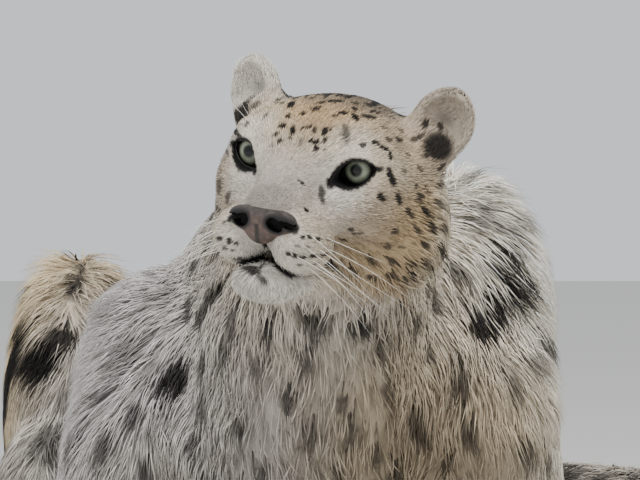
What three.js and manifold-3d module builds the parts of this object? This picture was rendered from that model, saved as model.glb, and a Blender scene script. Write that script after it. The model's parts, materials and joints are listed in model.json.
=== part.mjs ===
// A life-size snow leopard lying on its belly with its head raised and turned.
// Millimetres, +Z up, the floor at z = 0. The animal faces -Y and its left side is +X.
// The coat's outer surface is one smooth field of named masses, such as muscles and the fur
// over them. Each node takes that surface inside its own block, so that thin cuts part them.
import * as THREE from "three";
import { mergeVertices } from "three/addons/utils/BufferGeometryUtils.js";
import Module from "manifold-3d";

const wasm = await Module();
wasm.setup();

// Driving dimensions
const GAP = 0.3; // between nodes that touch
const SMALLEST = 0.02; // edges shorter than this close up in a cut
const EYE_HEIGHT = 345; // middle between the eyes, above the floor
const HEAD_TURN = -22.4; // degrees, towards the animal's right
const HEAD_NOD = 1.4; // nose down
const HEAD_TILT = 9; // left ear down
const EYEBALL_RADIUS = 13.5;
const EYE_SPACING = 71; // between eyeball centres
const HIP_SHIFT = -34; // the hips lie this far towards the animal's right
const TAIL_RADIUS = 54;
const COAT = 10; // the locks of the body stand out this far from its core
const RUFF_COAT = 6; // the same on the cheeks and throat
const LEFT = 1;
const RIGHT = -1;

const radians = THREE.MathUtils.degToRad;
const V = (x, y, z) => new THREE.Vector3(x, y, z);

// The head's own frame: x to its left, y backwards, z up, origin between the eyes.
const headFrame = new THREE.Matrix4()
  .makeTranslation(0, 0, EYE_HEIGHT)
  .multiply(new THREE.Matrix4().makeRotationZ(radians(HEAD_TURN)))
  .multiply(new THREE.Matrix4().makeRotationX(radians(HEAD_NOD)))
  .multiply(new THREE.Matrix4().makeRotationY(radians(HEAD_TILT)));
const headInverse = headFrame.clone().invert();
const fromHead = (x, y, z) => V(x, y, z).applyMatrix4(headFrame);

// A mass is an ellipsoid or a cone with round ends. Blend is how far it melts into the rest,
// and coat is how far the locks of a long coat stand out from it, half of its own depth.
const ball = (x, y, z, rx, ry, rz, blend, coat = 0) => ({
  at: V(x, y, z),
  r: V(rx - coat, ry - coat, rz - coat),
  blend,
});
const limb = (from, to, fromRadius, toRadius, blend, coat = 0) => ({
  from,
  along: to.clone().sub(from),
  fromRadius: fromRadius - coat,
  toRadius: toRadius - coat,
  blend,
});

function distanceTo(mass, x, y, z) {
  if (mass.r) {
    const px = (x - mass.at.x) / mass.r.x;
    const py = (y - mass.at.y) / mass.r.y;
    const pz = (z - mass.at.z) / mass.r.z;
    const inUnits = Math.hypot(px, py, pz);
    const slope = Math.hypot(px / mass.r.x, py / mass.r.y, pz / mass.r.z);
    return slope < 1e-9 ? -mass.r.x : (inUnits * (inUnits - 1)) / slope;
  }
  const qx = x - mass.from.x;
  const qy = y - mass.from.y;
  const qz = z - mass.from.z;
  const a = mass.along;
  const share = THREE.MathUtils.clamp((qx * a.x + qy * a.y + qz * a.z) / a.lengthSq(), 0, 1);
  const away = Math.hypot(qx - share * a.x, qy - share * a.y, qz - share * a.z);
  return away - THREE.MathUtils.lerp(mass.fromRadius, mass.toRadius, share);
}

function melted(a, b, blend) {
  const h = Math.max(blend - Math.abs(a - b), 0) / blend;
  return Math.min(a, b) - h * h * blend * 0.25;
}

const fieldOf = (masses) => (x, y, z) =>
  masses.reduce((sum, mass) => melted(sum, distanceTo(mass, x, y, z), mass.blend), 1e3);

// The head, in its own frame
const bothSides = (make) => [make(LEFT), make(RIGHT)].flat();
const upperHead = [
  ball(0, 44, 0, 60, 60, 40, 14), // skull
  ball(0, 12, 3, 41, 36, 26, 16), // forehead
  limb(V(0, -5, -8), V(0, -40, -29), 19, 18.5, 20), // bridge of the nose
  ...bothSides((s) => [
    ball(s * 34, 15, 12, 18, 18, 10, 12), // brow
    ball(s * 43, 34, -22, 24, 42, 32, 16), // cheekbone
    ball(s * 49, 60, -34, 33, 34, 44, 16, RUFF_COAT), // ruff of the cheek
    ball(s * 28, 0, -29, 19, 22, 15, 14), // under the eye
    ball(s * 20, -32, -48, 20, 26, 21, 6), // whisker pad
    ball(s * 52, 62, 14, 22, 18, 20, 14), // root of the ear
  ]),
  ball(0, 44, -56, 50, 46, 34, 18, RUFF_COAT), // throat
];
const jaw = [
  ball(0, -38, -75, 22, 20, 15, 10), // chin
  ball(0, 1, -72, 33, 42, 17, 14), // lower jaw
];
const nosePad = [
  ball(0, -55, -32, 19.5, 9, 7, 5),
  ball(0, -52, -39, 11.5, 8, 11, 5),
  ...bothSides((s) => ball(s * 13.5, -52, -35, 8.5, 9, 6.5, 4)),
];

// The neck and body, in the part's frame
const withers = V(6, 225, 250);
const chest = V(2, 205, 180);
const neck = [
  limb(fromHead(0, 78, -24), withers, 56, 94, 30, 6),
  limb(fromHead(0, 56, -46), chest, 56, 100, 30, 7),
];
const torso = [
  ball(97, 240, 234, 78, 96, 115, 34, COAT), // left shoulder, raised on its elbow
  ball(-84, 268, 186, 78, 100, 98, 34, COAT), // right shoulder, let down
  ball(2, 340, 150, 124, 190, 150, 40, COAT), // rib cage
  ball(-16, 545, 142, 132, 200, 150, 40, COAT), // belly and loin
  ball(HIP_SHIFT, 735, 150, 112, 145, 142, 40, COAT), // hips
  limb(V(HIP_SHIFT, 830, 165), V(HIP_SHIFT - 6, 925, 112), 62, 46, 26, COAT - 2), // root of the tail
];

// Each foreleg: shoulder, elbow, wrist and paw. The right one reaches further to the side.
const foreleg = {
  [LEFT]: [V(112, 185, 180), V(140, 305, 66), V(104, 60, 42), V(94, -22, 33)],
  [RIGHT]: [V(-104, 205, 150), V(-142, 315, 64), V(-96, 75, 42), V(-70, -2, 33)],
};
const forelegMasses = (side) => {
  const [shoulder, elbow, wrist, paw] = foreleg[side];
  return [
    limb(shoulder, elbow, 60, 50, 34, COAT - 4),
    limb(elbow, wrist, 50, 39, 24),
    ball(paw.x, paw.y, paw.z, 42, 50, 33, 20),
    ...toes(paw, 15, 21, 38),
  ];
};

// Four toes fan out from the middle of a paw.
const TOE_TURNS = [-33, -11, 11, 33];
const toes = (paw, width, length, reach) =>
  TOE_TURNS.map((turn) => {
    const x = paw.x + (reach + 14) * Math.sin(radians(turn)) * 0.92;
    const y = paw.y - reach * Math.cos(radians(turn));
    return ball(x, y, paw.z - 8, width, length, width + 5, 6);
  });

// Each hind leg: the thigh lies along the flank and the foot flat under it.
const hindleg = (side) => {
  const x = (out) => HIP_SHIFT + side * out;
  return [
    ball(x(128), 700, 149, 64, 146, 129, 34, COAT - 2), // thigh
    ball(x(140), 580, 92, 50, 66, 72, 24), // knee
    limb(V(x(142), 640, 60), V(x(136), 835, 40), 50, 34, 20), // shank
    limb(V(x(136), 835, 36), V(x(148), 660, 32), 36, 36, 14), // foot
    ball(x(152), 585, 32, 44, 50, 34, 16), // hind paw
    ...toes(V(x(152), 583, 32), 15, 20, 36),
  ];
};
const body = [
  ...neck,
  ...torso,
  ...forelegMasses(LEFT),
  ...forelegMasses(RIGHT),
  ...hindleg(LEFT),
  ...hindleg(RIGHT),
];

const bodyField = fieldOf(body);
const upperField = fieldOf(upperHead);
const HEAD_BLEND = 26; // the head melts into the neck over this depth
function wholeField(x, y, z) {
  const p = V(x, y, z).applyMatrix4(headInverse);
  return melted(upperField(p.x, p.y, p.z), bodyField(x, y, z), HEAD_BLEND);
}
const inHead = (field) => (x, y, z) => {
  const p = V(x, y, z).applyMatrix4(headInverse);
  return field(p.x, p.y, p.z);
};

// Where a field crosses zero, as one closed mesh: each grid cell that the surface passes
// through gets a vertex at the mean of its crossings, and each crossed edge gets a square.
const CORNERS = [0, 1, 2, 3, 4, 5, 6, 7].map((i) => [i & 1, (i >> 1) & 1, i >> 2]);
const EDGES = CORNERS.flatMap((a, i) =>
  [1, 2, 4].filter((bit) => !(i & bit)).map((bit) => [i, i | bit]),
);
function surfaceOf(field, low, high, step) {
  const count = V(1, 1, 1).add(high.clone().sub(low).divideScalar(step).ceil());
  const index = (i, j, k) => (k * count.y + j) * count.x + i;
  const values = new Float32Array(count.x * count.y * count.z);
  for (let k = 0; k < count.z; k++)
    for (let j = 0; j < count.y; j++)
      for (let i = 0; i < count.x; i++) {
        const rim = i * j * k === 0 || i === count.x - 1 || j === count.y - 1 || k === count.z - 1;
        const value = field(low.x + i * step, low.y + j * step, low.z + k * step);
        values[index(i, j, k)] = rim ? Math.max(value, step / 2) : value;
      }
  // Where two diagonal corners of a grid square lie inside and two outside, the surface would
  // touch itself: the shallower inside corner is let out.
  const strides = [1, count.x, count.x * count.y];
  for (let pass = 0; pass < 3; pass++)
    for (let p = 0; p < values.length; p++)
      for (const [u, v] of [[0, 1], [1, 2], [0, 2]]) {
        const corners = [p, p + strides[u], p + strides[u] + strides[v], p + strides[v]];
        const [a, b, c, d] = corners.map((corner) => values[corner] < 0);
        if (a !== c || b !== d || a === b) continue;
        const [one, other] = a ? [corners[0], corners[2]] : [corners[1], corners[3]];
        values[values[one] > values[other] ? one : other] = step * 0.03;
      }
  const places = [];
  const cellVertex = new Map();
  for (let k = 0; k < count.z - 1; k++)
    for (let j = 0; j < count.y - 1; j++)
      for (let i = 0; i < count.x - 1; i++) {
        const at = CORNERS.map(([a, b, c]) => values[index(i + a, j + b, k + c)]);
        const sum = V(0, 0, 0);
        let crossings = 0;
        for (const [a, b] of EDGES) {
          if (at[a] < 0 === at[b] < 0) continue;
          const share = at[a] / (at[a] - at[b]);
          sum.add(V(...CORNERS[a]).lerp(V(...CORNERS[b]), share));
          crossings++;
        }
        if (!crossings) continue;
        cellVertex.set(index(i, j, k), places.length / 3);
        sum.divideScalar(crossings).add(V(i, j, k)).multiplyScalar(step).add(low);
        places.push(sum.x, sum.y, sum.z);
      }
  const faces = [];
  const square = (a, b, c, d, turned) => {
    const [p, q, r, s] = turned ? [a, d, c, b] : [a, b, c, d];
    const at = (n) => V(...places.slice(n * 3, n * 3 + 3));
    if (at(p).distanceTo(at(r)) < at(q).distanceTo(at(s))) faces.push(p, q, r, p, r, s);
    else faces.push(q, r, s, q, s, p);
  };
  const cell = (i, j, k) => cellVertex.get(index(i, j, k));
  for (let k = 0; k < count.z - 1; k++)
    for (let j = 0; j < count.y - 1; j++)
      for (let i = 0; i < count.x - 1; i++) {
        const inside = values[index(i, j, k)] < 0;
        if (inside !== values[index(i + 1, j, k)] < 0)
          square(cell(i, j - 1, k - 1), cell(i, j, k - 1), cell(i, j, k), cell(i, j - 1, k), !inside);
        if (inside !== values[index(i, j + 1, k)] < 0)
          square(cell(i - 1, j, k - 1), cell(i - 1, j, k), cell(i, j, k), cell(i, j, k - 1), !inside);
        if (inside !== values[index(i, j, k + 1)] < 0)
          square(cell(i - 1, j - 1, k), cell(i, j - 1, k), cell(i, j, k), cell(i - 1, j, k), !inside);
      }
  return new THREE.BufferGeometry()
    .setAttribute("position", new THREE.Float32BufferAttribute(places, 3))
    .setIndex(faces);
}

// Solids and back
function solidOf(geometry) {
  const bare = geometry.clone();
  bare.deleteAttribute("normal");
  bare.deleteAttribute("uv");
  const merged = mergeVertices(bare, 1e-3);
  return new wasm.Manifold(
    new wasm.Mesh({
      numProp: 3,
      tolerance: SMALLEST,
      vertProperties: merged.attributes.position.array,
      triVerts: new Uint32Array(merged.index.array),
    }),
  );
}
function geometryOf(solid) {
  const { vertProperties, triVerts } = solid.getMesh();
  return new THREE.BufferGeometry()
    .setAttribute("position", new THREE.BufferAttribute(vertProperties, 3))
    .setIndex(new THREE.BufferAttribute(triVerts, 1));
}
const largestOf = (solid) =>
  solid.decompose().reduce((a, b) => (a.volume() > b.volume() ? a : b));
const inFrame = (geometry, frame) => geometry.clone().applyMatrix4(frame);

// A block from its low to its high corner, in a frame, grown on every side.
function block(low, high, frame = new THREE.Matrix4(), grow = 0) {
  const size = V(...high).sub(V(...low));
  const box = new THREE.BoxGeometry(size.x + 2 * grow, size.y + 2 * grow, size.z + 2 * grow);
  const middle = V(...high).add(V(...low)).multiplyScalar(0.5);
  box.translate(middle.x, middle.y, middle.z);
  return solidOf(inFrame(box, frame));
}

// Locks of the long coat. Each is flat and tapered, sunk in at its root, and follows the form
// along the way the hair lies, standing out more and more towards its tip.
const LOCK = { length: 125, width: 33, thickness: 7, rise: 2 * COAT };
const NECK_LOCK = { length: 92, width: 24, thickness: 6, rise: 14 };
const RUFF_LOCK = { length: 44, width: 12, thickness: 4.5, rise: 2 * RUFF_COAT + 4 };
const TAIL_LOCK = { length: 108, width: 42, thickness: 7, rise: 2 * COAT };
const TAIL_LOCK_ROWS = 2;
const TAIL_LOCK_TURNS = [25, 155];
const LOCK_STATIONS = [
  { on: -0.22, high: -0.8, wide: 0.75, thick: 1 },
  { on: 0.16, high: 0.25, wide: 1, thick: 1 },
  { on: 0.62, high: 0.7, wide: 0.78, thick: 0.7 },
];
let draw = 11;
const random = () => {
  draw = (draw * 16807) % 2147483647;
  return draw / 2147483647;
};

function outwardOf(field, p) {
  const e = 1.5;
  return V(
    field(p.x + e, p.y, p.z) - field(p.x - e, p.y, p.z),
    field(p.x, p.y + e, p.z) - field(p.x, p.y - e, p.z),
    field(p.x, p.y, p.z + e) - field(p.x, p.y, p.z - e),
  ).normalize();
}

function lock(field, root, lie, { length, width, thickness, rise }) {
  const reach = length * (0.85 + 0.3 * random());
  const sway = (random() - 0.5) * 0.5 * width;
  const place = (on, high) => {
    const out = outwardOf(field, root);
    const way = lie.clone().addScaledVector(out, -lie.dot(out)).normalize();
    const side = out.clone().cross(way);
    const p = root.clone().addScaledVector(way, on * reach).addScaledVector(side, sway * on * on * 2);
    const here = outwardOf(field, p);
    p.addScaledVector(here, high * rise - field(p.x, p.y, p.z));
    return { p, here };
  };
  const tip = place(1, 0.8);
  const spots = LOCK_STATIONS.map(({ on, high }) => place(on, high));
  const rings = spots.map(({ p, here }, i) => {
    const next = i + 1 < spots.length ? spots[i + 1].p : tip.p;
    const way = next.clone().sub(p).normalize();
    const level = here.cross(way).normalize();
    const { wide, thick } = LOCK_STATIONS[i];
    return ringOf(p, way, level, 3, width * wide * 1.1, thickness * thick);
  });
  return solidOf(loft(rings, tip.p));
}

// From a point inside, out to the surface.
function surfaceFrom(field, from, way) {
  const p = from.clone();
  for (let i = 0; i < 80; i++) {
    const deep = -field(p.x, p.y, p.z);
    if (deep < 0.3) break;
    p.addScaledVector(way, Math.max(deep * 0.7, 0.5));
  }
  return p;
}

// Rows of locks round an axis: every row is staggered by half a step from the one before.
function rowsOf({ from, to, rows, turns, frame, lie, size, field }) {
  const found = [];
  for (let row = 0; row < rows; row++)
    for (let number = 0; number < turns.length; number++) {
      const shift = row % 2 ? 0.5 * (turns[1] - turns[0]) : 0;
      const turn = radians(turns[number] + shift + 8 * (random() - 0.5));
      const axis = from.clone().lerp(to, (row + 0.3 * random()) / Math.max(rows - 1, 1));
      const way = V(Math.cos(turn), 0, Math.sin(turn));
      if (frame) {
        axis.applyMatrix4(frame);
        way.transformDirection(frame);
      }
      const root = surfaceFrom(field, axis, way);
      const lies = lie(way.clone());
      if (frame) lies.transformDirection(frame);
      found.push({ root, solid: lock(field, root, lies, size) });
    }
  return found;
}
const turnsFrom = (low, high, count) =>
  Array.from({ length: count }, (_, i) => low + ((high - low) * i) / (count - 1));

function ruffLocks() {
  return [LEFT, RIGHT].flatMap((side) =>
    rowsOf({
      from: V(side * 14, 50, -14),
      to: V(side * 14, 63, -14),
      rows: 2,
      turns: turnsFrom(-54, -4, 5).map((turn) => (side > 0 ? turn : 180 - turn)),
      frame: headFrame,
      lie: () => V(side * 0.8, 0.1, -0.55),
      size: RUFF_LOCK,
      field: wholeField,
    }),
  );
}

function bodyLocks() {
  const back = (way) => V(0, 0.8, -0.6 - 0.2 * Math.abs(way.x));
  return [
    ...rowsOf({
      from: V(0, 125, 240),
      to: V(0, 165, 225),
      rows: 2,
      turns: turnsFrom(-110, 220, 6),
      lie: () => V(0, 0.55, -0.85),
      size: NECK_LOCK,
      field: wholeField,
    }),
    ...rowsOf({
      from: V(2, 215, 180),
      to: V(-16, 520, 150),
      rows: 4,
      turns: turnsFrom(-18, 170, 6),
      lie: back,
      size: LOCK,
      field: wholeField,
    }),
    ...rowsOf({
      from: V(-26, 600, 150),
      to: V(HIP_SHIFT, 850, 150),
      rows: 3,
      turns: turnsFrom(-6, 156, 4),
      lie: back,
      size: LOCK,
      field: wholeField,
    }),
  ];
}

// The head's pieces
const eyeCentre = (side) => V((side * EYE_SPACING) / 2, 12.5, 0);
const eyeFrame = (side) =>
  headFrame
    .clone()
    .multiply(new THREE.Matrix4().makeTranslation(...eyeCentre(side)))
    .multiply(new THREE.Matrix4().makeRotationZ(radians(side * 8)))
    .multiply(new THREE.Matrix4().makeRotationY(radians(side * -16)));
const eyeball = (side, radius) =>
  solidOf(inFrame(new THREE.SphereGeometry(radius, 14, 9), eyeFrame(side)));

// The opening between the lids: an almond, drawn across the eye and pushed out forwards.
function lidOpening(side) {
  const almond = new THREE.Shape()
    .moveTo(-side * 15, -3)
    .quadraticCurveTo(-side * 3, 15, side * 11.5, -1.5)
    .quadraticCurveTo(side * 2, -17, -side * 15, -3);
  const prism = new THREE.ExtrudeGeometry(almond, {
    depth: 40,
    bevelEnabled: false,
    curveSegments: 7,
  });
  prism.rotateX(Math.PI / 2);
  return solidOf(inFrame(prism, eyeFrame(side)));
}

const NEAR_HEAD = [V(-150, -120, -140), V(150, 150, 100)];
const headBox = (() => {
  const corners = [0, 1, 2, 3, 4, 5, 6, 7].map((i) =>
    fromHead(NEAR_HEAD[i & 1].x, NEAR_HEAD[(i >> 1) & 1].y, NEAR_HEAD[i >> 2].z),
  );
  return new THREE.Box3().setFromPoints(corners);
})();
const HEAD_STEP = 10.8;
const MUZZLE_STEP = 7;
const JAW_STEP = 8.5;
const noseGrown = (grow) =>
  solidOf(
    inFrame(
      surfaceOf(
        (x, y, z) => fieldOf(nosePad)(x, y, z) - grow,
        V(-32, -73, -60),
        V(32, -34, -16),
        5,
      ),
      headFrame,
    ),
  );

// Two comma-shaped nostrils, bored into the pad.
function nostril(side) {
  const wide = new THREE.SphereGeometry(1, 8, 6).scale(4.6, 9, 3.2);
  wide.rotateY(radians(side * 28)).translate(side * 11, -59, -36);
  const slit = new THREE.SphereGeometry(1, 8, 6).scale(6.5, 6, 1.7);
  slit.rotateY(radians(side * 24)).translate(side * 17, -55, -34.5);
  return solidOf(inFrame(wide, headFrame)).add(solidOf(inFrame(slit, headFrame)));
}

// Each ear is a rounded cup that opens forwards and outwards.
const EAR_MIDDLE = V(64, 64, 30);
const earFrame = (side) =>
  headFrame
    .clone()
    .multiply(new THREE.Matrix4().makeTranslation(side * EAR_MIDDLE.x, EAR_MIDDLE.y, EAR_MIDDLE.z))
    .multiply(new THREE.Matrix4().makeRotationZ(radians(side * 26)))
    .multiply(new THREE.Matrix4().makeRotationY(radians(side * 20)));
function ear(side) {
  const outer = new THREE.SphereGeometry(1, 12, 8).scale(21.5, 13, 26);
  const hollow = new THREE.SphereGeometry(1, 10, 7).scale(16.5, 15, 20.5).translate(0, -10, 1);
  return solidOf(inFrame(outer, earFrame(side))).subtract(solidOf(inFrame(hollow, earFrame(side))));
}

const nodes = new THREE.Group();
const colours = {
  coat: { color: 0xb9ab98, roughness: 0.9 },
  pale: { color: 0xd8d2c8, roughness: 0.9 },
  nose: { color: 0x5d4a46, roughness: 0.45 },
  eye: { color: 0x6f7a66, roughness: 0.08 },
};
function addNode(name, solid, finish = "coat") {
  const material = new THREE.MeshStandardMaterial({ ...colours[finish], metalness: 0 });
  const mesh = new THREE.Mesh(geometryOf(largestOf(solid)), material);
  mesh.name = name;
  nodes.add(mesh);
}

// The cut behind the head leans with the neck.
const neckCut = headFrame
  .clone()
  .multiply(new THREE.Matrix4().makeTranslation(0, 84, 0))
  .multiply(new THREE.Matrix4().makeRotationX(radians(-22)));
const headBlock = (grow) => block([-200, -260, -220], [200, 0, 160], neckCut, grow);
const muzzleBlock = (grow) => block([-62, -120, -64], [62, -12, 9], headFrame, grow);

function addHead() {
  const eyes = [LEFT, RIGHT].map((side) => eyeball(side, EYEBALL_RADIUS + GAP));
  const finish = (raw) => {
    let solid = raw.intersect(headBlock(0));
    for (const side of [LEFT, RIGHT]) {
      const lids = solidOf(
        inFrame(new THREE.SphereGeometry(EYEBALL_RADIUS + 3, 14, 10), eyeFrame(side)),
      );
      solid = solid.add(lids).subtract(lidOpening(side));
    }
    return solid.subtract(eyes[0]).subtract(eyes[1]).subtract(noseGrown(2 * GAP));
  };
  let coarse = solidOf(surfaceOf(wholeField, headBox.min, headBox.max, HEAD_STEP));
  for (const { solid } of ruffLocks()) coarse = coarse.add(solid);
  const fine = solidOf(surfaceOf(wholeField, headBox.min, headBox.max, MUZZLE_STEP));
  const skull = finish(coarse).subtract(muzzleBlock(GAP));
  const muzzle = finish(fine).intersect(muzzleBlock(0));
  addNode("head", skull);
  addNode("muzzle", muzzle, "pale");
  addNode("nose", noseGrown(0).subtract(nostril(LEFT)).subtract(nostril(RIGHT)), "nose");

  const grown = (step, gap) =>
    solidOf(surfaceOf((x, y, z) => wholeField(x, y, z) - gap, headBox.min, headBox.max, step));
  const upperGrown = grown(HEAD_STEP, GAP);
  const earBed = grown(HEAD_STEP, 3 * GAP);
  const jawSurface = surfaceOf(
    inHead(fieldOf(jaw)),
    headBox.min,
    fromHead(120, 80, -20).max(fromHead(-60, 80, -20)),
    JAW_STEP,
  );
  const besideMuzzle = upperGrown.subtract(muzzleBlock(0));
  const muzzleGrown = grown(MUZZLE_STEP, GAP).intersect(muzzleBlock(GAP));
  addNode("lower_jaw", solidOf(jawSurface).subtract(besideMuzzle).subtract(muzzleGrown), "pale");

  for (const [side, name] of [[LEFT, "left"], [RIGHT, "right"]]) {
    addNode("ear_" + name, ear(side).subtract(earBed));
    addNode("eye_" + name, eyeball(side, EYEBALL_RADIUS), "eye");
  }
}

// The body's blocks are cut in this order, and each node takes what the earlier ones left.
const BODY_BLOCKS = [];
for (const [side, name] of [[LEFT, "left"], [RIGHT, "right"]]) {
  const across = (near, far) => (side > 0 ? [near, far] : [-far, -near]);
  const about = (near, far) => across(near, far).map((x) => x + HIP_SHIFT);
  const add = (piece, x, y, z, step) =>
    BODY_BLOCKS.push({
      name: piece + "_" + name,
      low: [x[0], y[0], z[0]],
      high: [x[1], y[1], z[1]],
      step,
    });
  const wristY = side > 0 ? 40 : 55;
  add("forepaw", across(8, 190), [-140, wristY], [0, 110], 15.5);
  add("forearm", across(40, 240), [wristY, 225], [0, 108], 29);
  add("upper_arm", across(112, 260), [110, 400], [0, 215], 34);
  add("hind_paw", about(90, 230), [480, 625], [0, 60], 15.5);
  add("hind_foot", about(92, 230), [625, 900], [0, 62], 27);
  add("thigh", about(92, 260), [480, 880], [0, 300], 38);
}
BODY_BLOCKS.push(
  { name: "neck", low: [-240, -60, 40], high: [240, 190, 460], step: 31 },
  { name: "chest", low: [-300, 120, 0], high: [300, 420, 460], step: 46 },
  { name: "belly", low: [-300, 420, 0], high: [300, 600, 460], step: 44 },
  { name: "hips", low: [-300, 600, 0], high: [300, 900, 460], step: 42 },
);

function addBody() {
  const taken = [{ solid: headBlock(GAP) }];
  let locks = bodyLocks();
  for (const { name, low, high, step } of BODY_BLOCKS) {
    const room = new THREE.Box3(V(...low), V(...high));
    const own = locks.filter(({ root }) => room.containsPoint(root));
    locks = locks.filter(({ root }) => !room.containsPoint(root));
    const margin = 2 * step;
    const from = V(...low).subScalar(margin);
    const to = V(...high).addScalar(margin);
    let solid = solidOf(surfaceOf(wholeField, from, to, step));
    for (const lock of own) solid = solid.add(lock.solid);
    solid = solid.intersect(block(low, high));
    for (const { solid: other } of taken) solid = solid.subtract(other);
    taken.push({ solid: block(low, high, new THREE.Matrix4(), GAP) });
    addNode(name, solid);
  }
}

// The tail lies on the floor, round the left thigh, in lengths that meet end to end.
const TAIL_LENGTHS = 5;
const TAIL_SIDES = 12;
const RINGS_PER_LENGTH = 5;
const tailPath = new THREE.CatmullRomCurve3([
  V(HIP_SHIFT - 4, 900, 126),
  V(HIP_SHIFT - 8, 965, 84),
  V(-24, 1045, TAIL_RADIUS),
  V(40, 1112, TAIL_RADIUS - 1),
  V(130, 1128, TAIL_RADIUS - 1),
  V(212, 1085, TAIL_RADIUS - 1),
  V(258, 1000, TAIL_RADIUS - 1),
  V(268, 905, TAIL_RADIUS - 2),
  V(262, 815, TAIL_RADIUS - 3),
  V(250, 735, TAIL_RADIUS - 8),
]);
const tailRadius = (share) =>
  (share < 0.25
    ? THREE.MathUtils.lerp(TAIL_RADIUS - 8, TAIL_RADIUS + 1, share * 4)
    : THREE.MathUtils.lerp(TAIL_RADIUS + 1, TAIL_RADIUS - 7, (share - 0.25) / 0.75)) - COAT;

// Rings of points, closed at both ends by a middle point or a tip, as one skin.
function loft(rings, tip) {
  const sides = rings[0].length;
  const points = rings.flat();
  const faces = [];
  for (let r = 0; r + 1 < rings.length; r++)
    for (let s = 0; s < sides; s++) {
      const a = r * sides + s;
      const b = r * sides + ((s + 1) % sides);
      faces.push(a, b, b + sides, a, b + sides, a + sides);
    }
  const middleOf = (ring) => ring.reduce((sum, p) => sum.add(p), V(0, 0, 0)).divideScalar(sides);
  const first = points.push(middleOf(rings[0])) - 1;
  const last = points.push(tip ?? middleOf(rings.at(-1))) - 1;
  const end = (rings.length - 1) * sides;
  for (let s = 0; s < sides; s++) {
    faces.push(first, (s + 1) % sides, s);
    faces.push(last, end + s, end + ((s + 1) % sides));
  }
  return new THREE.BufferGeometry().setFromPoints(points).setIndex(faces);
}

function ringOf(at, way, level, sides, width, height) {
  const up = way.clone().cross(level);
  return Array.from({ length: sides }, (_, s) => {
    const turn = (2 * Math.PI * s) / sides + Math.PI / 2;
    const out = level.clone().multiplyScalar(width * Math.cos(turn));
    return out.addScaledVector(up, height * Math.sin(turn)).add(at);
  });
}
function tailRing(share, radius) {
  const way = tailPath.getTangentAt(share);
  const level = V(-way.y, way.x, 0).normalize();
  return ringOf(tailPath.getPointAt(share), way, level, TAIL_SIDES, radius, radius);
}
const tailPoints = tailPath.getSpacedPoints(60);
const tailCore = (x, y, z) =>
  Math.min(
    ...tailPoints.map((p, i) => Math.hypot(x - p.x, y - p.y, z - p.z) - tailRadius(i / 60)),
  );

// All that lies beyond a cut across the tail, ahead of it or behind it.
function besideCut(share, direction) {
  const way = tailPath.getTangentAt(share).multiplyScalar(direction);
  const side = V(way.y, -way.x, 0).normalize();
  const frame = new THREE.Matrix4().makeBasis(side, way, side.clone().cross(way));
  frame.setPosition(tailPath.getPointAt(share));
  return block([-95, 0, -95], [95, 110, 95], frame);
}

function tailLocks(part) {
  const found = [];
  for (let row = 0; row < TAIL_LOCK_ROWS; row++)
    for (const [number, degrees] of TAIL_LOCK_TURNS.entries()) {
      const along = (row + 0.5 * (number % 2)) / TAIL_LOCK_ROWS;
      const share = (part + 0.05 + 0.8 * along) / TAIL_LENGTHS;
      const way = tailPath.getTangentAt(share);
      const level = V(-way.y, way.x, 0).normalize();
      const up = way.clone().cross(level);
      const turn = radians(degrees + 16 * (random() - 0.5));
      const out = level.multiplyScalar(Math.cos(turn)).addScaledVector(up, Math.sin(turn));
      const root = tailPath.getPointAt(share).addScaledVector(out, tailRadius(share));
      found.push(lock(tailCore, root, way, TAIL_LOCK));
    }
  return found;
}

function addTail() {
  const whole = tailPath.getLength();
  const floor = block([-600, 700, 0], [600, 1400, 400]);
  const hips = block([-300, 600, 0], [300, 900, 460], new THREE.Matrix4(), GAP);
  for (let part = 0; part < TAIL_LENGTHS; part++) {
    const last = part === TAIL_LENGTHS - 1;
    const from = part / TAIL_LENGTHS + (part ? GAP / 2 / whole : 0);
    const to = (part + 1) / TAIL_LENGTHS - (last ? 0 : GAP / 2 / whole);
    const rings = [];
    for (let r = 0; r <= RINGS_PER_LENGTH; r++) {
      const share = THREE.MathUtils.lerp(from, to, r / RINGS_PER_LENGTH);
      rings.push(tailRing(share, tailRadius(share)));
    }
    if (last) {
      const way = tailPath.getTangentAt(1);
      for (const [on, narrow] of [[20, 0.88], [34, 0.6], [41, 0.25]]) {
        const ring = tailRing(1, tailRadius(1) * narrow);
        rings.push(ring.map((p) => p.addScaledVector(way, on)));
      }
    }
    let solid = solidOf(loft(rings));
    for (const lock of tailLocks(part)) solid = solid.add(lock);
    solid = solid.intersect(floor);
    solid = part ? solid.subtract(besideCut(from, -1)) : solid.subtract(hips);
    addNode("tail_" + (part + 1), last ? solid : solid.subtract(besideCut(to, 1)));
  }
}

addHead();
addBody();
addTail();

// The origin is on the floor, under the middle of the whole animal.
nodes.updateMatrixWorld(true);
const bounds = new THREE.Box3().setFromObject(nodes);
const middle = bounds.getCenter(V(0, 0, 0));
nodes.position.set(-middle.x, -middle.y, 0);
export default nodes;
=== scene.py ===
# %% [markdown]
# # A life-size snow leopard, lying down
# The animal is built from the inside out: a skin over named masses of muscle, then eyes, nose
# and whiskers, then a coat of many small tufts that follow the lie of real fur.
# One unit in Blender is a metre. The tables below are in millimetres, as a keeper would measure.

# %% Start from the fixed frame
import json
import math

import bpy
import numpy as np
from mathutils import Matrix, Vector
from mathutils.bvhtree import BVHTree
from mathutils.kdtree import KDTree

import openvdb

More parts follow.
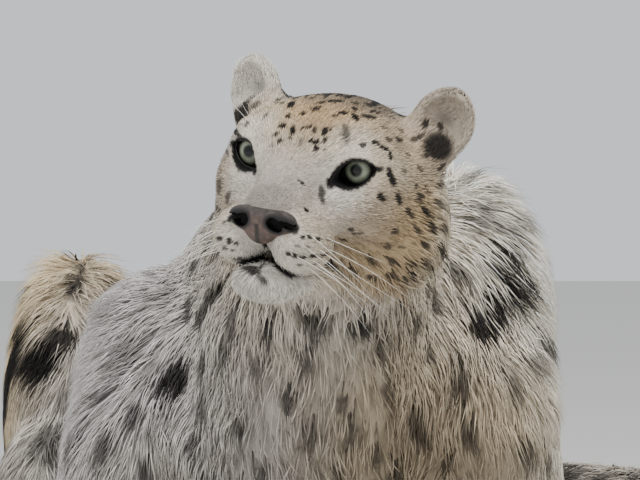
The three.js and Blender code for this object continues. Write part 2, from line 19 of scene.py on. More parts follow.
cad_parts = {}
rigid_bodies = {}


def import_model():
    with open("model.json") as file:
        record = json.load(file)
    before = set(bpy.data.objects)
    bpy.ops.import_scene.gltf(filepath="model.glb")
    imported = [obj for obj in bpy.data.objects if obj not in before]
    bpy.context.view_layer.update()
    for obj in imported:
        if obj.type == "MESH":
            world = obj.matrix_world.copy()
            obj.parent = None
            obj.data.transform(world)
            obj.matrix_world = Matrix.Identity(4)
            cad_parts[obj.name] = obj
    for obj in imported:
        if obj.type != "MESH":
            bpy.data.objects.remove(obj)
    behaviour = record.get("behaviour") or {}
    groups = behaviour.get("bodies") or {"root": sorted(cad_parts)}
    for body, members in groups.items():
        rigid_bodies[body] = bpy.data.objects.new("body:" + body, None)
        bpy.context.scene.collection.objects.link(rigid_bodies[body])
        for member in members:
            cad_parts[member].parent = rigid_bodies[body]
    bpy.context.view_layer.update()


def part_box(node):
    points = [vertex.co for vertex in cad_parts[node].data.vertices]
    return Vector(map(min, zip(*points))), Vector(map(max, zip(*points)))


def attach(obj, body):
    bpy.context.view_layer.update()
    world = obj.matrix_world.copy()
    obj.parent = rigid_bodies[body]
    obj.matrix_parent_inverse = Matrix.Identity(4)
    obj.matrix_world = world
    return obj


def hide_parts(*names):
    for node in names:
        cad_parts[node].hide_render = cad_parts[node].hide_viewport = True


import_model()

# %% [markdown]
# ## Where the head is
# The head has its own axes: x to its left, y backwards, z up, with the origin between the eyes.
# It is turned, nodded and tilted as the animal holds it. The two eye nodes say where the whole
# animal stands in the frame, so every table can count from the head and from the floor.

# %% Head and world frames
EYE_HEIGHT = 345.0
EYE_CENTRE = np.array([35.5, 12.5, 0.0])
EYE_RADIUS = 13.5
HEAD_TURN = -22.4
HEAD_NOD = 1.4
HEAD_TILT = 9.0


def turn(degrees, axis):
    return np.array(Matrix.Rotation(math.radians(degrees), 3, axis))


HEAD_ROT = turn(HEAD_TURN, "Z") @ turn(HEAD_NOD, "X") @ turn(HEAD_TILT, "Y")
HEAD_AT = np.array([0.0, 0.0, EYE_HEIGHT])


def from_head(points):
    return np.asarray(points, float) @ HEAD_ROT.T + HEAD_AT


def to_head(points):
    return (np.asarray(points, float) - HEAD_AT) @ HEAD_ROT


eye_boxes = [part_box("eye_left"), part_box("eye_right")]
eyes_middle = np.mean([np.array((low + high) / 2) for low, high in eye_boxes], axis=0)
SHIFT = eyes_middle * 1000 - from_head([[0, EYE_CENTRE[1], 0]])[0]


def to_metres(points):
    return (np.asarray(points, float) + SHIFT) / 1000


print("shift of the tables, mm:", SHIFT.round(1))

# %% [markdown]
# ## Camera
# A long lens from five metres away, a little above the eyes, gives the narrow angle of wildlife
# pictures. The same numbers turn a place in the picture into a line of sight, which places the
# spots of the face later on.

# %% Camera
PICTURE = (640, 480)
LOOK_AT = np.array([10.6, 0.0, 295.3])
DISTANCE = 5000.0
CAMERA_UP = 1.75
PIXELS_PER_MM = 1.6
FOCAL_PIXELS = DISTANCE * PIXELS_PER_MM
SENSOR = 36.0

up_angle = math.radians(CAMERA_UP)
sight = np.array([0, math.cos(up_angle), -math.sin(up_angle)])
EYE_POINT = LOOK_AT - DISTANCE * sight
picture_up = np.array([0, math.sin(up_angle), math.cos(up_angle)])

camera_data = bpy.data.cameras.new("camera")
camera_data.sensor_width = SENSOR
camera_data.lens = FOCAL_PIXELS / PICTURE[0] * SENSOR
camera_data.clip_end = 100
camera = bpy.data.objects.new("camera", camera_data)
bpy.context.scene.collection.objects.link(camera)
camera.location = to_metres(EYE_POINT)
camera.rotation_euler = (math.radians(90 - CAMERA_UP), 0, 0)
bpy.context.scene.camera = camera
print("lens", round(camera_data.lens), "mm, camera at", [round(v, 2) for v in camera.location])


def sight_lines(pixels):
    """Directions from the camera through places in the picture."""
    pixels = np.asarray(pixels, float)
    across = (pixels[:, 0] - PICTURE[0] / 2) / FOCAL_PIXELS
    upward = (PICTURE[1] / 2 - pixels[:, 1]) / FOCAL_PIXELS
    lines = sight + across[:, None] * np.array([1, 0, 0]) + upward[:, None] * picture_up
    return lines / np.linalg.norm(lines, axis=1)[:, None]


# %% [markdown]
# ## Materials
# One function reads a colour as a painter writes it (sRGB hex) and one turns it into the linear
# values that a shader needs. One makes a material and one adds a node with its settings and
# links. Coat and skin take their colour from an attribute called pelt, so that both carry the
# same markings. An image would be the other way, but here every single tuft has to be coloured.

# %% Colour and material helpers
def srgb(hex_colour):
    return np.array([int(hex_colour[i : i + 2], 16) / 255 for i in (1, 3, 5)])


def to_linear(colours):
    colours = np.clip(colours, 0, 1)
    return np.where(colours <= 0.04045, colours / 12.92, ((colours + 0.055) / 1.055) ** 2.4)


def add_node(material, kind, settings, links):
    """Add one node, set its sockets or properties, and link outputs into it."""
    node = material.node_tree.nodes.new(kind)
    for name, value in settings.items():
        if name in node.inputs:
            node.inputs[name].default_value = value
        else:
            setattr(node, name, value)
    for name, output in links.items():
        material.node_tree.links.new(output, node.inputs[name])
    return node


def make_material(name, hex_colour="#808080", attribute=None, **sockets):
    """A material of one colour, or of the colours stored in an attribute."""
    material = bpy.data.materials.new(name)
    material.use_nodes = True
    shader = material.node_tree.nodes["Principled BSDF"]
    shader.inputs["Base Color"].default_value = (*to_linear(srgb(hex_colour)), 1)
    for socket, value in sockets.items():
        shader.inputs[socket.replace("_", " ")].default_value = value
    if attribute:
        colour = add_node(material, "ShaderNodeAttribute", {"attribute_name": attribute}, {})
        material.node_tree.links.new(colour.outputs["Color"], shader.inputs["Base Color"])
    return material


def add_relief(material, lumps_per_metre, strength, height):
    """Fine relief from noise in object coordinates."""
    where = add_node(material, "ShaderNodeTexCoord", {}, {})
    lump_settings = {"Scale": lumps_per_metre, "Detail": 3.0}
    lump_links = {"Vector": where.outputs["Object"]}
    lumps = add_node(material, "ShaderNodeTexNoise", lump_settings, lump_links)
    bump_settings = {"Strength": strength, "Distance": height}
    bump = add_node(material, "ShaderNodeBump", bump_settings, {"Height": lumps.outputs["Fac"]})
    shader = material.node_tree.nodes["Principled BSDF"]
    material.node_tree.links.new(bump.outputs["Normal"], shader.inputs["Normal"])


# %% [markdown]
# ## The six finishes
# Each is named for what it is on the animal. The comment above it says what the eye sees.

# %% Fur, leather, wet eye and whisker
# Undercoat wool is short, dense and dull, in clumps about 1.1 mm across.
undercoat = make_material("undercoat_fur", attribute="pelt", Roughness=0.95)
add_relief(undercoat, lumps_per_metre=900, strength=0.6, height=0.002)
# Guard hair is smoother than wool and has a weak sheen.
guard_hair = make_material("guard_hair", attribute="pelt", Roughness=0.75, Specular_IOR_Level=0.3)
# Nose leather is bare and moist, with a grain of about 0.7 mm.
nose_leather = make_material("nose_leather", attribute="pelt", Roughness=0.5)
add_relief(nose_leather, lumps_per_metre=1400, strength=0.5, height=0.0006)
# The rim of the lids is black, bare and wet, so it shines.
lid_rim = make_material("lid_rim", "#0E0B0A", Roughness=0.18)
# The iris is dull. The smooth, clear film of tears over it gives the highlight.
TEAR_FILM = dict(Specular_IOR_Level=0.1, Coat_Weight=0.6, Coat_Roughness=0.02)
eyeball_paint = make_material("wet_eyeball", attribute="pelt", Roughness=0.5, **TEAR_FILM)
# A whisker is one thick, polished white hair.
whisker_hair = make_material("whisker", "#EFEAE0", Roughness=0.35)
print("materials:", len(bpy.data.materials))

# %% [markdown]
# ## The masses under the skin
# Muscles, cheeks and paws are ellipsoids and tapered limbs that melt into each other. Each one
# also says how deep the coat is over it, how long its hair is and which way the hair lies.
# One table then drives the skin, the length of the fur and its direction. A primitive sculpted in
# edit mode would be the usual start, but the table keeps the fur and the form in step.

# %% Rows of the tables
LEFT = 1
RIGHT = -1
HIP_SHIFT = -34  # the hips lie a little to the right of the chest


def ball(at, radii, melt, depth, hair, lie):
    """An ellipsoid, made smaller by the depth of the coat over it."""
    radii = np.array(radii, float) - depth
    return dict(at=np.array(at, float), r=radii, melt=melt, depth=depth, hair=hair, lie=lie)


def limb(start, end, start_r, end_r, melt, depth, hair, lie):
    """A tapered limb between two points, made thinner by the depth of its coat."""
    along = np.array(end, float) - np.array(start, float)
    return dict(
        at=np.array(start, float), along=along, r0=start_r - depth, r1=end_r - depth,
        melt=melt, depth=depth, hair=hair, lie=lie,
    )


def pair(make):
    return [make(LEFT), make(RIGHT)]


# %% Masses of the head: place, radii, melt, depth of coat, length of hair, lie of the hair
UPPER_HEAD = [
    ball((0, 44, 0), (60, 60, 40), 14, 2.5, 9, (0, 1, 0.05)),
    ball((0, 12, 3), (41, 36, 26), 16, 3, 5.5, (0, 0.7, 0.7)),
    limb((0, -5, -8), (0, -40, -29), 17.5, 18.5, 18, 1.5, 3, (0, 0.9, 0.5)),
    *pair(lambda s: ball((s * 34, 15, 12), (18, 18, 10), 12, 3, 5.5, (s * 0.6, 0.5, 0.6))),
    *pair(lambda s: ball((s * 43, 34, -22), (24, 42, 32), 16, 3, 9, (s * 0.55, 0.8, -0.25))),
    *pair(lambda s: ball((s * 49, 60, -34), (33, 34, 44), 16, 7, 22, (s * 0.7, 0.5, -0.6))),
    *pair(lambda s: ball((s * 28, 0, -29), (19, 22, 15), 14, 2.5, 4.5, (s * 0.75, 0.6, -0.1))),
    *pair(lambda s: ball((s * 20, -32, -48), (20, 26, 21), 12, 2.5, 4, (s * 0.8, 0.5, -0.35))),
    *pair(lambda s: ball((s * 52, 62, 14), (22, 18, 20), 14, 3, 8, (s * 0.5, 0.3, 0.8))),
    ball((0, 44, -56), (50, 46, 34), 18, 9, 22, (0, 0.6, -0.8)),
]
JAW = [
    ball((0, -38, -75), (22, 20, 15), 10, 4, 8, (0, -0.3, -0.9)),
    ball((0, 1, -72), (33, 42, 17), 14, 6, 14, (0, 0.8, -0.6)),
]
print("masses of the head:", len(UPPER_HEAD) + len(JAW))

# %% Masses of the legs
TOE_ANGLES = (-33, -11, 11, 33)
TOE_FAN = 14
TOE_DROP = 8
PAW_LIE = (0, -1, -0.2)


def toes(paw, width, length, reach, depth):
    found = []
    for spread in TOE_ANGLES:
        angle = math.radians(spread)
        x = paw[0] + (reach + TOE_FAN) * math.sin(angle) * 0.92
        y = paw[1] - reach * math.cos(angle)
        radii = (width, length, width + 5)
        found.append(ball((x, y, paw[2] - TOE_DROP), radii, 6, depth, 9, PAW_LIE))
    return found


def foreleg(shoulder, elbow, wrist, paw):
    return [
        limb(shoulder, elbow, 60, 50, 34, 14, 32, (0, 0.5, -0.85)),
        limb(elbow, wrist, 50, 39, 24, 9, 22, (0, -0.9, -0.2)),
        ball(paw, (42, 50, 33), 20, 5, 11, PAW_LIE),
        *toes(paw, 15, 21, 38, 3),
    ]


def hindleg(s):
    def x(out):
        return HIP_SHIFT + s * out

    return [
        ball((x(128), 700, 149), (64, 146, 129), 34, 18, 36, (s * 0.1, 0.3, -0.9)),
        ball((x(140), 580, 92), (50, 66, 72), 24, 14, 30, (0, -0.2, -0.95)),
        limb((x(142), 640, 60), (x(136), 835, 40), 50, 34, 20, 9, 22, (0, -0.8, -0.3)),
        limb((x(136), 835, 36), (x(148), 660, 32), 36, 36, 14, 7, 16, (0, -1, -0.1)),
        ball((x(152), 585, 32), (44, 50, 34), 16, 5, 11, PAW_LIE),
        *toes((x(152), 583, 32), 15, 20, 36, 3),
    ]


# %% Masses of the body
nape, throat_root = from_head([[0, 78, -24], [0, 56, -46]])
BODY = [
    limb(nape, (6, 225, 250), 65, 97, 30, 14, 34, (0, 0.85, -0.35)),
    limb(throat_root, (2, 205, 180), 56, 100, 30, 16, 38, (0, 0.5, -0.85)),
    ball((97, 240, 234), (78, 96, 115), 34, 18, 38, (0.2, 0.75, -0.6)),
    ball((-84, 268, 186), (78, 100, 98), 34, 18, 38, (-0.2, 0.8, -0.55)),
    ball((2, 340, 150), (124, 190, 150), 40, 20, 40, (0, 0.9, -0.4)),
    ball((-16, 545, 142), (132, 200, 150), 40, 20, 42, (0, 0.85, -0.5)),
    ball((HIP_SHIFT, 735, 150), (112, 145, 142), 40, 18, 38, (0, 0.9, -0.35)),
    limb((HIP_SHIFT, 830, 165), (HIP_SHIFT - 6, 925, 112), 62, 46, 26, 17, 38, (0, 0.9, -0.5)),
    *foreleg((112, 185, 180), (140, 305, 66), (104, 60, 42), (94, -22, 33)),
    *foreleg((-104, 205, 150), (-142, 315, 64), (-96, 75, 42), (-70, -2, 33)),
    *hindleg(LEFT),
    *hindleg(RIGHT),
]
BACK_OF_HEAD = UPPER_HEAD[:8]
NECK_AND_CHEST = BODY[:8]
print("masses of the body:", len(BODY))

# %% [markdown]
# ## From masses to a surface
# The distance to every mass is melted together on a grid of points. The skin is where that
# distance is zero. The openvdb library, which comes with Blender, walks the grid and returns
# the surface as four-sided faces.

# %% Distance field
FAR = 1e3


def distance(mass, p):
    q = p - mass["at"].astype(np.float32)
    if "r" in mass:
        scaled = q / mass["r"].astype(np.float32)
        size = np.sqrt(np.einsum("ij,ij->i", scaled, scaled))
        slope = scaled / mass["r"].astype(np.float32)
        slope = np.sqrt(np.einsum("ij,ij->i", slope, slope)) + 1e-9
        return size * (size - 1) / slope
    along = mass["along"].astype(np.float32)
    share = np.clip(q @ along / (along @ along), 0, 1)
    away = q - share[:, None] * along
    away = np.sqrt(np.einsum("ij,ij->i", away, away))
    return away - (mass["r0"] + (mass["r1"] - mass["r0"]) * share)


def melted(a, b, melt):
    h = np.maximum(melt - np.abs(a - b), 0) / melt
    return np.minimum(a, b) - h * h * melt * 0.25


def field(masses, p):
    p = np.asarray(p, np.float32)
    total = np.full(len(p), FAR, np.float32)
    for mass in masses:
        total = melted(total, distance(mass, p), mass["melt"])
    return total


# %% Surface of a field
BAND = 4  # how many grid steps the field is kept on each side of the surface


def surface(function, low, high, step):
    """The zero surface of function(points) inside a box, as points and four-sided faces."""
    axes = [np.arange(a, b + step, step, dtype=np.float32) for a, b in zip(low, high)]
    grid = np.stack(np.meshgrid(*axes, indexing="ij"), -1)
    values = function(grid.reshape(-1, 3)).reshape(grid.shape[:3]).astype(np.float32)
    for axis in range(3):
        first = [slice(None)] * 3
        last = [slice(None)] * 3
        first[axis] = 0
        last[axis] = -1
        values[tuple(first)] = np.maximum(values[tuple(first)], step / 2)
        values[tuple(last)] = np.maximum(values[tuple(last)], step / 2)
    reach = step * BAND
    volume = openvdb.FloatGrid(reach)
    volume.copyFromArray(np.ascontiguousarray(np.clip(values, -reach, reach)))
    points, quads = volume.convertToQuads(0.0)
    return points * step + np.array(low), quads


# %% [markdown]
# ## Sockets and lids
# A cat's lids are taut over the eyeball, and the opening is an almond that rises outwards. The
# lids are a thin ball round each eye, melted into the face, and the almond is cut through them.
# A boolean cut of the finished mesh would leave ragged lids, so the cut is made in the field.

# %% Eye openings
LID_RADIUS = 16.2
LID_MELT = 7
SOCKET_DEPTH = 2
SOCKET_GAP = 0.4
ALMOND = dict(inner=-15.0, outer=12.0, inner_z=-4.0, outer_z=-1.0, top=8.8, bottom=7.4)
EYE_YAW = 8.0
EYE_ROLL = -16.0


def eye_axes(side):
    return turn(side * EYE_YAW, "Z") @ turn(side * EYE_ROLL, "Y")


def eye_local(side, p):
    """Points counted from one eye, with x towards the outer corner on both sides."""
    centre = EYE_CENTRE * [side, 1, 1]
    q = (p - centre) @ eye_axes(side)
    return q * [side, 1, 1]


def almond_edges(u):
    """Height of the upper and lower lid at places across the eye."""
    share = np.clip((u - ALMOND["inner"]) / (ALMOND["outer"] - ALMOND["inner"]), 0, 1)
    base = ALMOND["inner_z"] + (ALMOND["outer_z"] - ALMOND["inner_z"]) * share
    arch = 4 * share * (1 - share)
    return base + ALMOND["top"] * arch**0.8, base - ALMOND["bottom"] * arch**0.9


def opening_distance(side, p):
    q = eye_local(side, p)
    top, bottom = almond_edges(q[:, 0])
    across = np.maximum(q[:, 0] - ALMOND["outer"], ALMOND["inner"] - q[:, 0])
    inside = np.maximum(np.maximum(q[:, 2] - top, bottom - q[:, 2]), across)
    return np.maximum(inside, q[:, 1] - SOCKET_DEPTH)


print("eye opening, mm:", ALMOND["outer"] - ALMOND["inner"], "wide")

# %% [markdown]
# ## Ears
# The ears are small and rounded, set wide apart and low, and thinner than a finger. Each is an
# ellipsoid with a smaller one taken out of its front. A bowl made from half a sphere would need
# its rim closed and joined to the head, and here the field melts the two together.

# %% Ears
EAR_MIDDLE = np.array([64.0, 64.0, 30.0])
EAR_OUTER = (21.5, 13, 26)
EAR_HOLLOW = (16.5, 15, 20.5)
EAR_COAT = 2.0
EAR_HAIR = 6
EAR_MELT = 9
EAR_YAW = 26
EAR_ROLL = 20


def ear_axes(side):
    return turn(side * EAR_YAW, "Z") @ turn(side * EAR_ROLL, "Y")


def ear_distance(side, p):
    """Distance to one ear, a rounded shell that opens forwards and outwards."""
    q = ((p - EAR_MIDDLE * [side, 1, 1]) @ ear_axes(side)).astype(np.float32)
    outer = distance(ball((0, 0, 0), EAR_OUTER, 1, EAR_COAT, 0, (0, 0, 1)), q)
    hollow = distance(ball((0, -10, 1), EAR_HOLLOW, 1, 0, 0, (0, 0, 1)), q)
    return -melted(-outer, hollow, 2)


print("ear height, mm:", 2 * EAR_OUTER[2])

# %% [markdown]
# ## Tail
# A snow leopard's tail is nearly as long as its body and very thick. It lies on the floor in a
# curve round the left thigh. The path is a smooth curve through a few points, and its radius
# swells after the root. A bevelled curve would give the tube, but not a tail that grows out of
# the hips, so the path is one more mass in the field.

# %% Tail path
TAIL_RADIUS = 54.0
TAIL_POINTS = np.array([
    (HIP_SHIFT - 4, 900, 126),
    (HIP_SHIFT - 8, 965, 84),
    (-24, 1045, TAIL_RADIUS),
    (40, 1112, TAIL_RADIUS - 1),
    (130, 1128, TAIL_RADIUS - 1),
    (212, 1085, TAIL_RADIUS - 1),
    (258, 1000, TAIL_RADIUS - 1),
    (268, 905, TAIL_RADIUS - 2),
    (262, 815, TAIL_RADIUS - 3),
    (250, 735, TAIL_RADIUS - 8),
], float)
TAIL_DEPTH = 20.0
TAIL_HAIR = 40
TAIL_SWELL = 0.25  # the share of its length after which the tail is thickest
ROOT_LESS = 8
ROOT_GROWTH = 9
TIP_LESS = 8


def smooth_path(points, samples):
    """A Catmull-Rom curve through points."""
    ends = np.vstack([2 * points[0] - points[1], points, 2 * points[-1] - points[-2]])
    found = []
    for i in range(len(points) - 1):
        a, b, c, d = ends[i : i + 4]
        for t in np.linspace(0, 1, samples, endpoint=False):
            cubic = (3 * b - a - 3 * c + d) * t**3
            square = (2 * a - 5 * b + 4 * c - d) * t**2
            found.append(0.5 * (2 * b + (c - a) * t + square + cubic))
    return np.array(found + [points[-1]])


TAIL_PATH = smooth_path(TAIL_POINTS, 5)
tail_steps = np.linalg.norm(np.diff(TAIL_PATH, axis=0), axis=1)
TAIL_SHARE = np.concatenate([[0], np.cumsum(tail_steps)]) / tail_steps.sum()
print("tail length, mm:", round(tail_steps.sum()))


# %% Tail as a mass
def tail_radius(share):
    root = TAIL_RADIUS - ROOT_LESS + ROOT_GROWTH * share / TAIL_SWELL
    rest = TAIL_RADIUS + 1 - TIP_LESS * (share - TAIL_SWELL) / (1 - TAIL_SWELL)
    return np.where(share < TAIL_SWELL, root, rest)


def tail_distance(p):
    nearest = np.full(len(p), FAR, np.float32)
    for i in range(len(TAIL_PATH) - 1):
        a = TAIL_PATH[i].astype(np.float32)
        along = (TAIL_PATH[i + 1] - TAIL_PATH[i]).astype(np.float32)
        q = p - a
        share = np.clip(q @ along / (along @ along), 0, 1)
        away = np.linalg.norm(q - share[:, None] * along, axis=1)
        radius = tail_radius(TAIL_SHARE[i]) - TAIL_DEPTH
        nearest = np.minimum(nearest, away - radius)
    return nearest


def nearest_on_tail(p):
    """Which point of the tail's path is nearest."""
    return np.argmin([np.linalg.norm(p - place, axis=1) for place in TAIL_PATH], axis=0)


print("tail thickest at, mm:", round(2 * float(tail_radius(TAIL_SWELL))))

# %% [markdown]
# ## Head and body as two fields
# The face needs a fine grid and the body a coarse one. One field holds the head, its lids, ears
# and the start of the neck, the other the body and tail. A slanting plane behind the ears parts
# them, and each reaches a few millimetres past it.

# %% The two fields
JOIN_MELT = 26
LIP_MELT = 1.5
TAIL_MELT = 14
NECK_CUT_SLANT = math.radians(22)
NECK_CUT_AT = 84
HEAD_OVERLAP = 6
BODY_OVERLAP = 2
FLOOR_GAP = 2.0


def head_field(p):
    """The whole skin near the head, in the head's own axes."""
    p = np.asarray(p, np.float32)
    upper = melted(field(UPPER_HEAD, p), field(NECK_AND_CHEST, from_head(p)), JOIN_MELT)
    whole = melted(upper, field(JAW, p), LIP_MELT)
    for side in (LEFT, RIGHT):
        centre = (EYE_CENTRE * [side, 1, 1]).astype(np.float32)
        from_eye = np.linalg.norm(p - centre, axis=1)
        whole = melted(whole, from_eye - LID_RADIUS, LID_MELT)
        whole = np.maximum(whole, -opening_distance(side, p))
        whole = np.maximum(whole, EYE_RADIUS - SOCKET_GAP - from_eye)
        whole = melted(whole, ear_distance(side, p), EAR_MELT)
    return whole


def neck_plane(p):
    """Distance behind the cut at the back of the head, in the head's axes."""
    normal = np.array([0, math.cos(NECK_CUT_SLANT), -math.sin(NECK_CUT_SLANT)])
    return (p - [0, NECK_CUT_AT, 0]) @ normal


def head_piece(p):
    return np.maximum(head_field(p), neck_plane(p) - HEAD_OVERLAP)


def body_piece(p):
    p = np.asarray(p, np.float32)
    local = to_head(p).astype(np.float32)
    near = melted(field(BACK_OF_HEAD, local), field(BODY, p), JOIN_MELT)
    whole = melted(near, tail_distance(p), TAIL_MELT)
    behind = np.maximum(whole, -BODY_OVERLAP - neck_plane(local))
    return np.maximum(behind, FLOOR_GAP - p[:, 2])


print("depth of the point between the eyes, mm:", -head_field([[0, 0, 0]]).round(1))

# %% [markdown]
# ## The skin
# Each field becomes a mesh on its own grid, and the two are joined into one skin. A remesh of
# joined primitives would be quicker to write, but would round off the lids and lips.

# %% Mesh helpers
HEAD_STEP = 1.8
HEAD_BOX = ((-100, -72, -125), (100, 150, 72))
BODY_STEP = 7.0
BODY_BOX = ((-260, -100, -5), (345, 1200, 400))


def new_object(name, points, faces, material):
    mesh = bpy.data.meshes.new(name)
    mesh.from_pydata(points.tolist(), [], faces)
    mesh.materials.append(material)
    piece = bpy.data.objects.new(name, mesh)
    bpy.context.scene.collection.objects.link(piece)
    mesh.shade_smooth()
    return piece


def select_only(*pieces):
    bpy.ops.object.select_all(action="DESELECT")
    for piece in pieces:
        piece.select_set(True)
    bpy.context.view_layer.objects.active = pieces[0]


def read_vertices(mesh, what):
    """Places or normals of a mesh's vertices as an array."""
    values = np.zeros(len(mesh.vertices) * 3, np.float32)
    mesh.vertices.foreach_get(what, values)
    return values.reshape(-1, 3).astype(float)


# %% Skin meshes
head_points, head_faces = surface(head_piece, *HEAD_BOX, HEAD_STEP)
skin = new_object("skin", to_metres(from_head(head_points)), head_faces.tolist(), undercoat)
body_points, body_faces = surface(body_piece, *BODY_BOX, BODY_STEP)
body_skin = new_object("body_skin", to_metres(body_points), body_faces.tolist(), undercoat)
print("skin faces: head", len(head_faces), "body", len(body_faces))
select_only(skin, body_skin)
bpy.ops.object.join()
skin_area = sum(face.area for face in skin.data.polygons)
skin_points = read_vertices(skin.data, "co") * 1000 - SHIFT
skin_normals = read_vertices(skin.data, "normal")
skin_head = to_head(skin_points)
print("skin area, m2:", round(skin_area, 3), "vertices:", len(skin_points))

# %% [markdown]
# ## Colours of the pelt
# Smoky grey above, cream below and warm tan on the face and haunches. Each named patch has a
# place, a colour and a spread, and every point takes a blend of the patches near it. Painting by
# hand would be the other way, but then the coat could not look up its colour at each root.

# %% Patches of base colour: place, colour, spread in mm
def head_patch(at, colour, spread):
    return (from_head([at])[0], colour, spread)


def head_pair(at, colour, spread):
    return [head_patch((s * at[0], at[1], at[2]), colour, spread) for s in (LEFT, RIGHT)]


PATCHES = [
    head_patch((0, -45, -22), "#8E857D", 9),
    head_patch((0, -30, -8), "#B5ABA1", 12),
    head_patch((0, -6, 6), "#B3A48D", 12),
    head_patch((4, 8, 24), "#BD9F78", 13),
    head_patch((0, 30, 40), "#A28E74", 14),
    head_patch((0, 60, 42), "#75695B", 18),
    *head_pair((15, -12, -2), "#D6CFC2", 8),
    *head_pair((30, 0, 15), "#C9C0B1", 9),
    *head_pair((32, -6, -15), "#CFCBC5", 10),
    *head_pair((22, -28, -25), "#AFA598", 10),
    *head_pair((45, 5, -25), "#B5A48E", 12),
    *head_pair((20, -48, -48), "#CBC3B5", 10),
    *head_pair((30, -34, -40), "#BFB09A", 9),
    head_patch((0, -46, -58), "#C9C4BC", 9),
    head_patch((0, -48, -82), "#D2CEC5", 12),
    head_patch((52, 22, 2), "#C2B49D", 11),
    head_patch((-52, 22, 2), "#A9A29A", 11),
    head_patch((60, 32, -34), "#AD9674", 15),
    head_patch((-60, 32, -34), "#989188", 15),
    head_patch((48, 40, -62), "#B79F7D", 16),
    head_patch((-48, 40, -62), "#B4AA9C", 16),
    *head_pair((84, 62, -42), "#D6CAB4", 9),
    *head_pair((84, 66, -16), "#D2C6B0", 9),
    *head_pair((78, 64, -70), "#D2C6B0", 10),
    *head_pair((55, 40, 20), "#B3A087", 12),
    *head_pair((38, 20, 27), "#BDAB8F", 9),
    head_patch((64, 58, 34), "#A5998A", 13),
    head_patch((-64, 58, 34), "#CFC8BD", 13),
    head_patch((0, 50, -88), "#D3CBBE", 22),
    ((10, 170, 270), "#B5A996", 48),
    ((90, 150, 160), "#B9A88E", 40),
    ((112, 230, 290), "#FBF3E4", 55),
    ((150, 250, 190), "#F2EADB", 55),
    ((-84, 200, 200), "#C9C4C0", 60),
    ((-150, 300, 150), "#CCC7C4", 70),
    ((0, 400, 290), "#A8A19A", 90),
    ((0, 600, 290), "#A49C92", 90),
    ((-130, 520, 180), "#BFB9B2", 70),
    ((120, 500, 180), "#C4BBAD", 70),
    ((-170, 700, 200), "#E3CCA4", 60),
    ((90, 700, 230), "#C9BA9E", 70),
    ((-34, 760, 280), "#ADA292", 60),
    ((-40, 820, 200), "#B8AA92", 60),
    ((0, 500, 20), "#D5CFC3", 90),
    ((110, 90, 90), "#B5A995", 45),
    ((-90, 100, 90), "#ACA396", 45),
    ((100, -20, 30), "#C3B9A8", 35),
    ((-75, 0, 30), "#BDB4A5", 35),
    ((150, 600, 40), "#BFB5A3", 45),
    ((-200, 600, 40), "#BFB5A3", 45),
    ((40, 1110, 60), "#BDB4A6", 90),
    ((250, 850, 60), "#C3BAAC", 90),
]
PATCH_PLACES = np.array([place for place, _, _ in PATCHES], np.float32)
PATCH_COLOURS = np.array([srgb(colour) for _, colour, _ in PATCHES])
PATCH_SPREADS = np.array([spread for _, _, spread in PATCHES], np.float32)
BLACK_FUR = srgb("#161413")
print("patches of colour:", len(PATCHES))

# %% Noise and blending
CHUNK = 20000  # points painted at a time, so that the distances fit in memory
rng = np.random.default_rng(7)
LATTICE = rng.random((24, 24, 24)).astype(np.float32)


def noise(p, size, shift=0.0):
    """Smooth random values between 0 and 1, in lumps of a given size in mm."""
    q = np.asarray(p, np.float32) / size + shift
    cell = np.floor(q).astype(int)
    part = q - cell
    part = part * part * (3 - 2 * part)
    total = np.zeros(len(q), np.float32)
    for corner in np.ndindex(2, 2, 2):
        weight = np.prod(np.where(corner, part, 1 - part), axis=1)
        index = (cell + corner) % len(LATTICE)
        total += weight * LATTICE[index[:, 0], index[:, 1], index[:, 2]]
    return total


def smooth_step(low, high, value):
    share = np.clip((value - low) / (high - low), 0, 1)
    return share * share * (3 - 2 * share)


def base_colour(p):
    colours = np.zeros((len(p), 3))
    for start in range(0, len(p), CHUNK):
        q = np.asarray(p[start : start + CHUNK], np.float32)
        away = np.linalg.norm(q[:, None] - PATCH_PLACES, axis=2)
        steps = (away / PATCH_SPREADS) ** 2 / 2
        weight = np.exp(steps.min(axis=1, keepdims=True) - steps)
        mixed = weight @ PATCH_COLOURS / weight.sum(axis=1, keepdims=True)
        colours[start : start + CHUNK] = mixed
    return colours


# %% [markdown]
# ## Spots and rosettes
# Small solid spots cover the face, larger ones the neck and legs, and broken rings the flanks.
# Those that the picture shows are placed by sight lines from the camera, as a taxidermist checks
# a mount against a picture. The rest are scattered over the hidden sides at natural spacings.
# Each mark is a flat ellipse lying on the skin, so both skin and hair can ask how dark it is.

# %% Spots of the brow: x, y, length, width, angle and strength, in the 640 by 480 picture
FOREHEAD_SPOTS = [
    (291.6, 105, 12, 6.5, 85, 0.95), (288, 117, 5.5, 5, 0, 0.9), (303.2, 114, 5, 4.5, 40, 0.85),
    (282.8, 126.4, 7.5, 6, 30, 0.9), (292.7, 130.5, 8.5, 5, 90, 0.95),
    (276, 134.7, 8.5, 3, 40, 0.8),
    (280, 141, 5.5, 4, 30, 0.8), (289.7, 138.8, 4, 3, 30, 0.6), (300.7, 142, 6, 3.5, 90, 0.4),
    (271, 146.3, 5.5, 3, 20, 0.4), (303.5, 128.4, 5.5, 2.8, 45, 0.75),
    (309.3, 127.2, 6.5, 4, 20, 0.8),
    (314.3, 130.5, 6, 3.4, 80, 0.7), (324.2, 131, 7.5, 5.5, 80, 0.95), (330, 130, 4, 3.4, 0, 0.8),
    (310.6, 141, 4.6, 4.2, 0, 0.9), (316.3, 142.5, 5, 4.3, 0, 0.9), (325, 140.5, 5.4, 4.3, 80, 0.9),
    (315.9, 148.8, 4.8, 4.4, 0, 0.9), (325, 150, 3, 2.4, 0, 0.6), (310, 109, 7, 2.6, 5, 0.5),
]
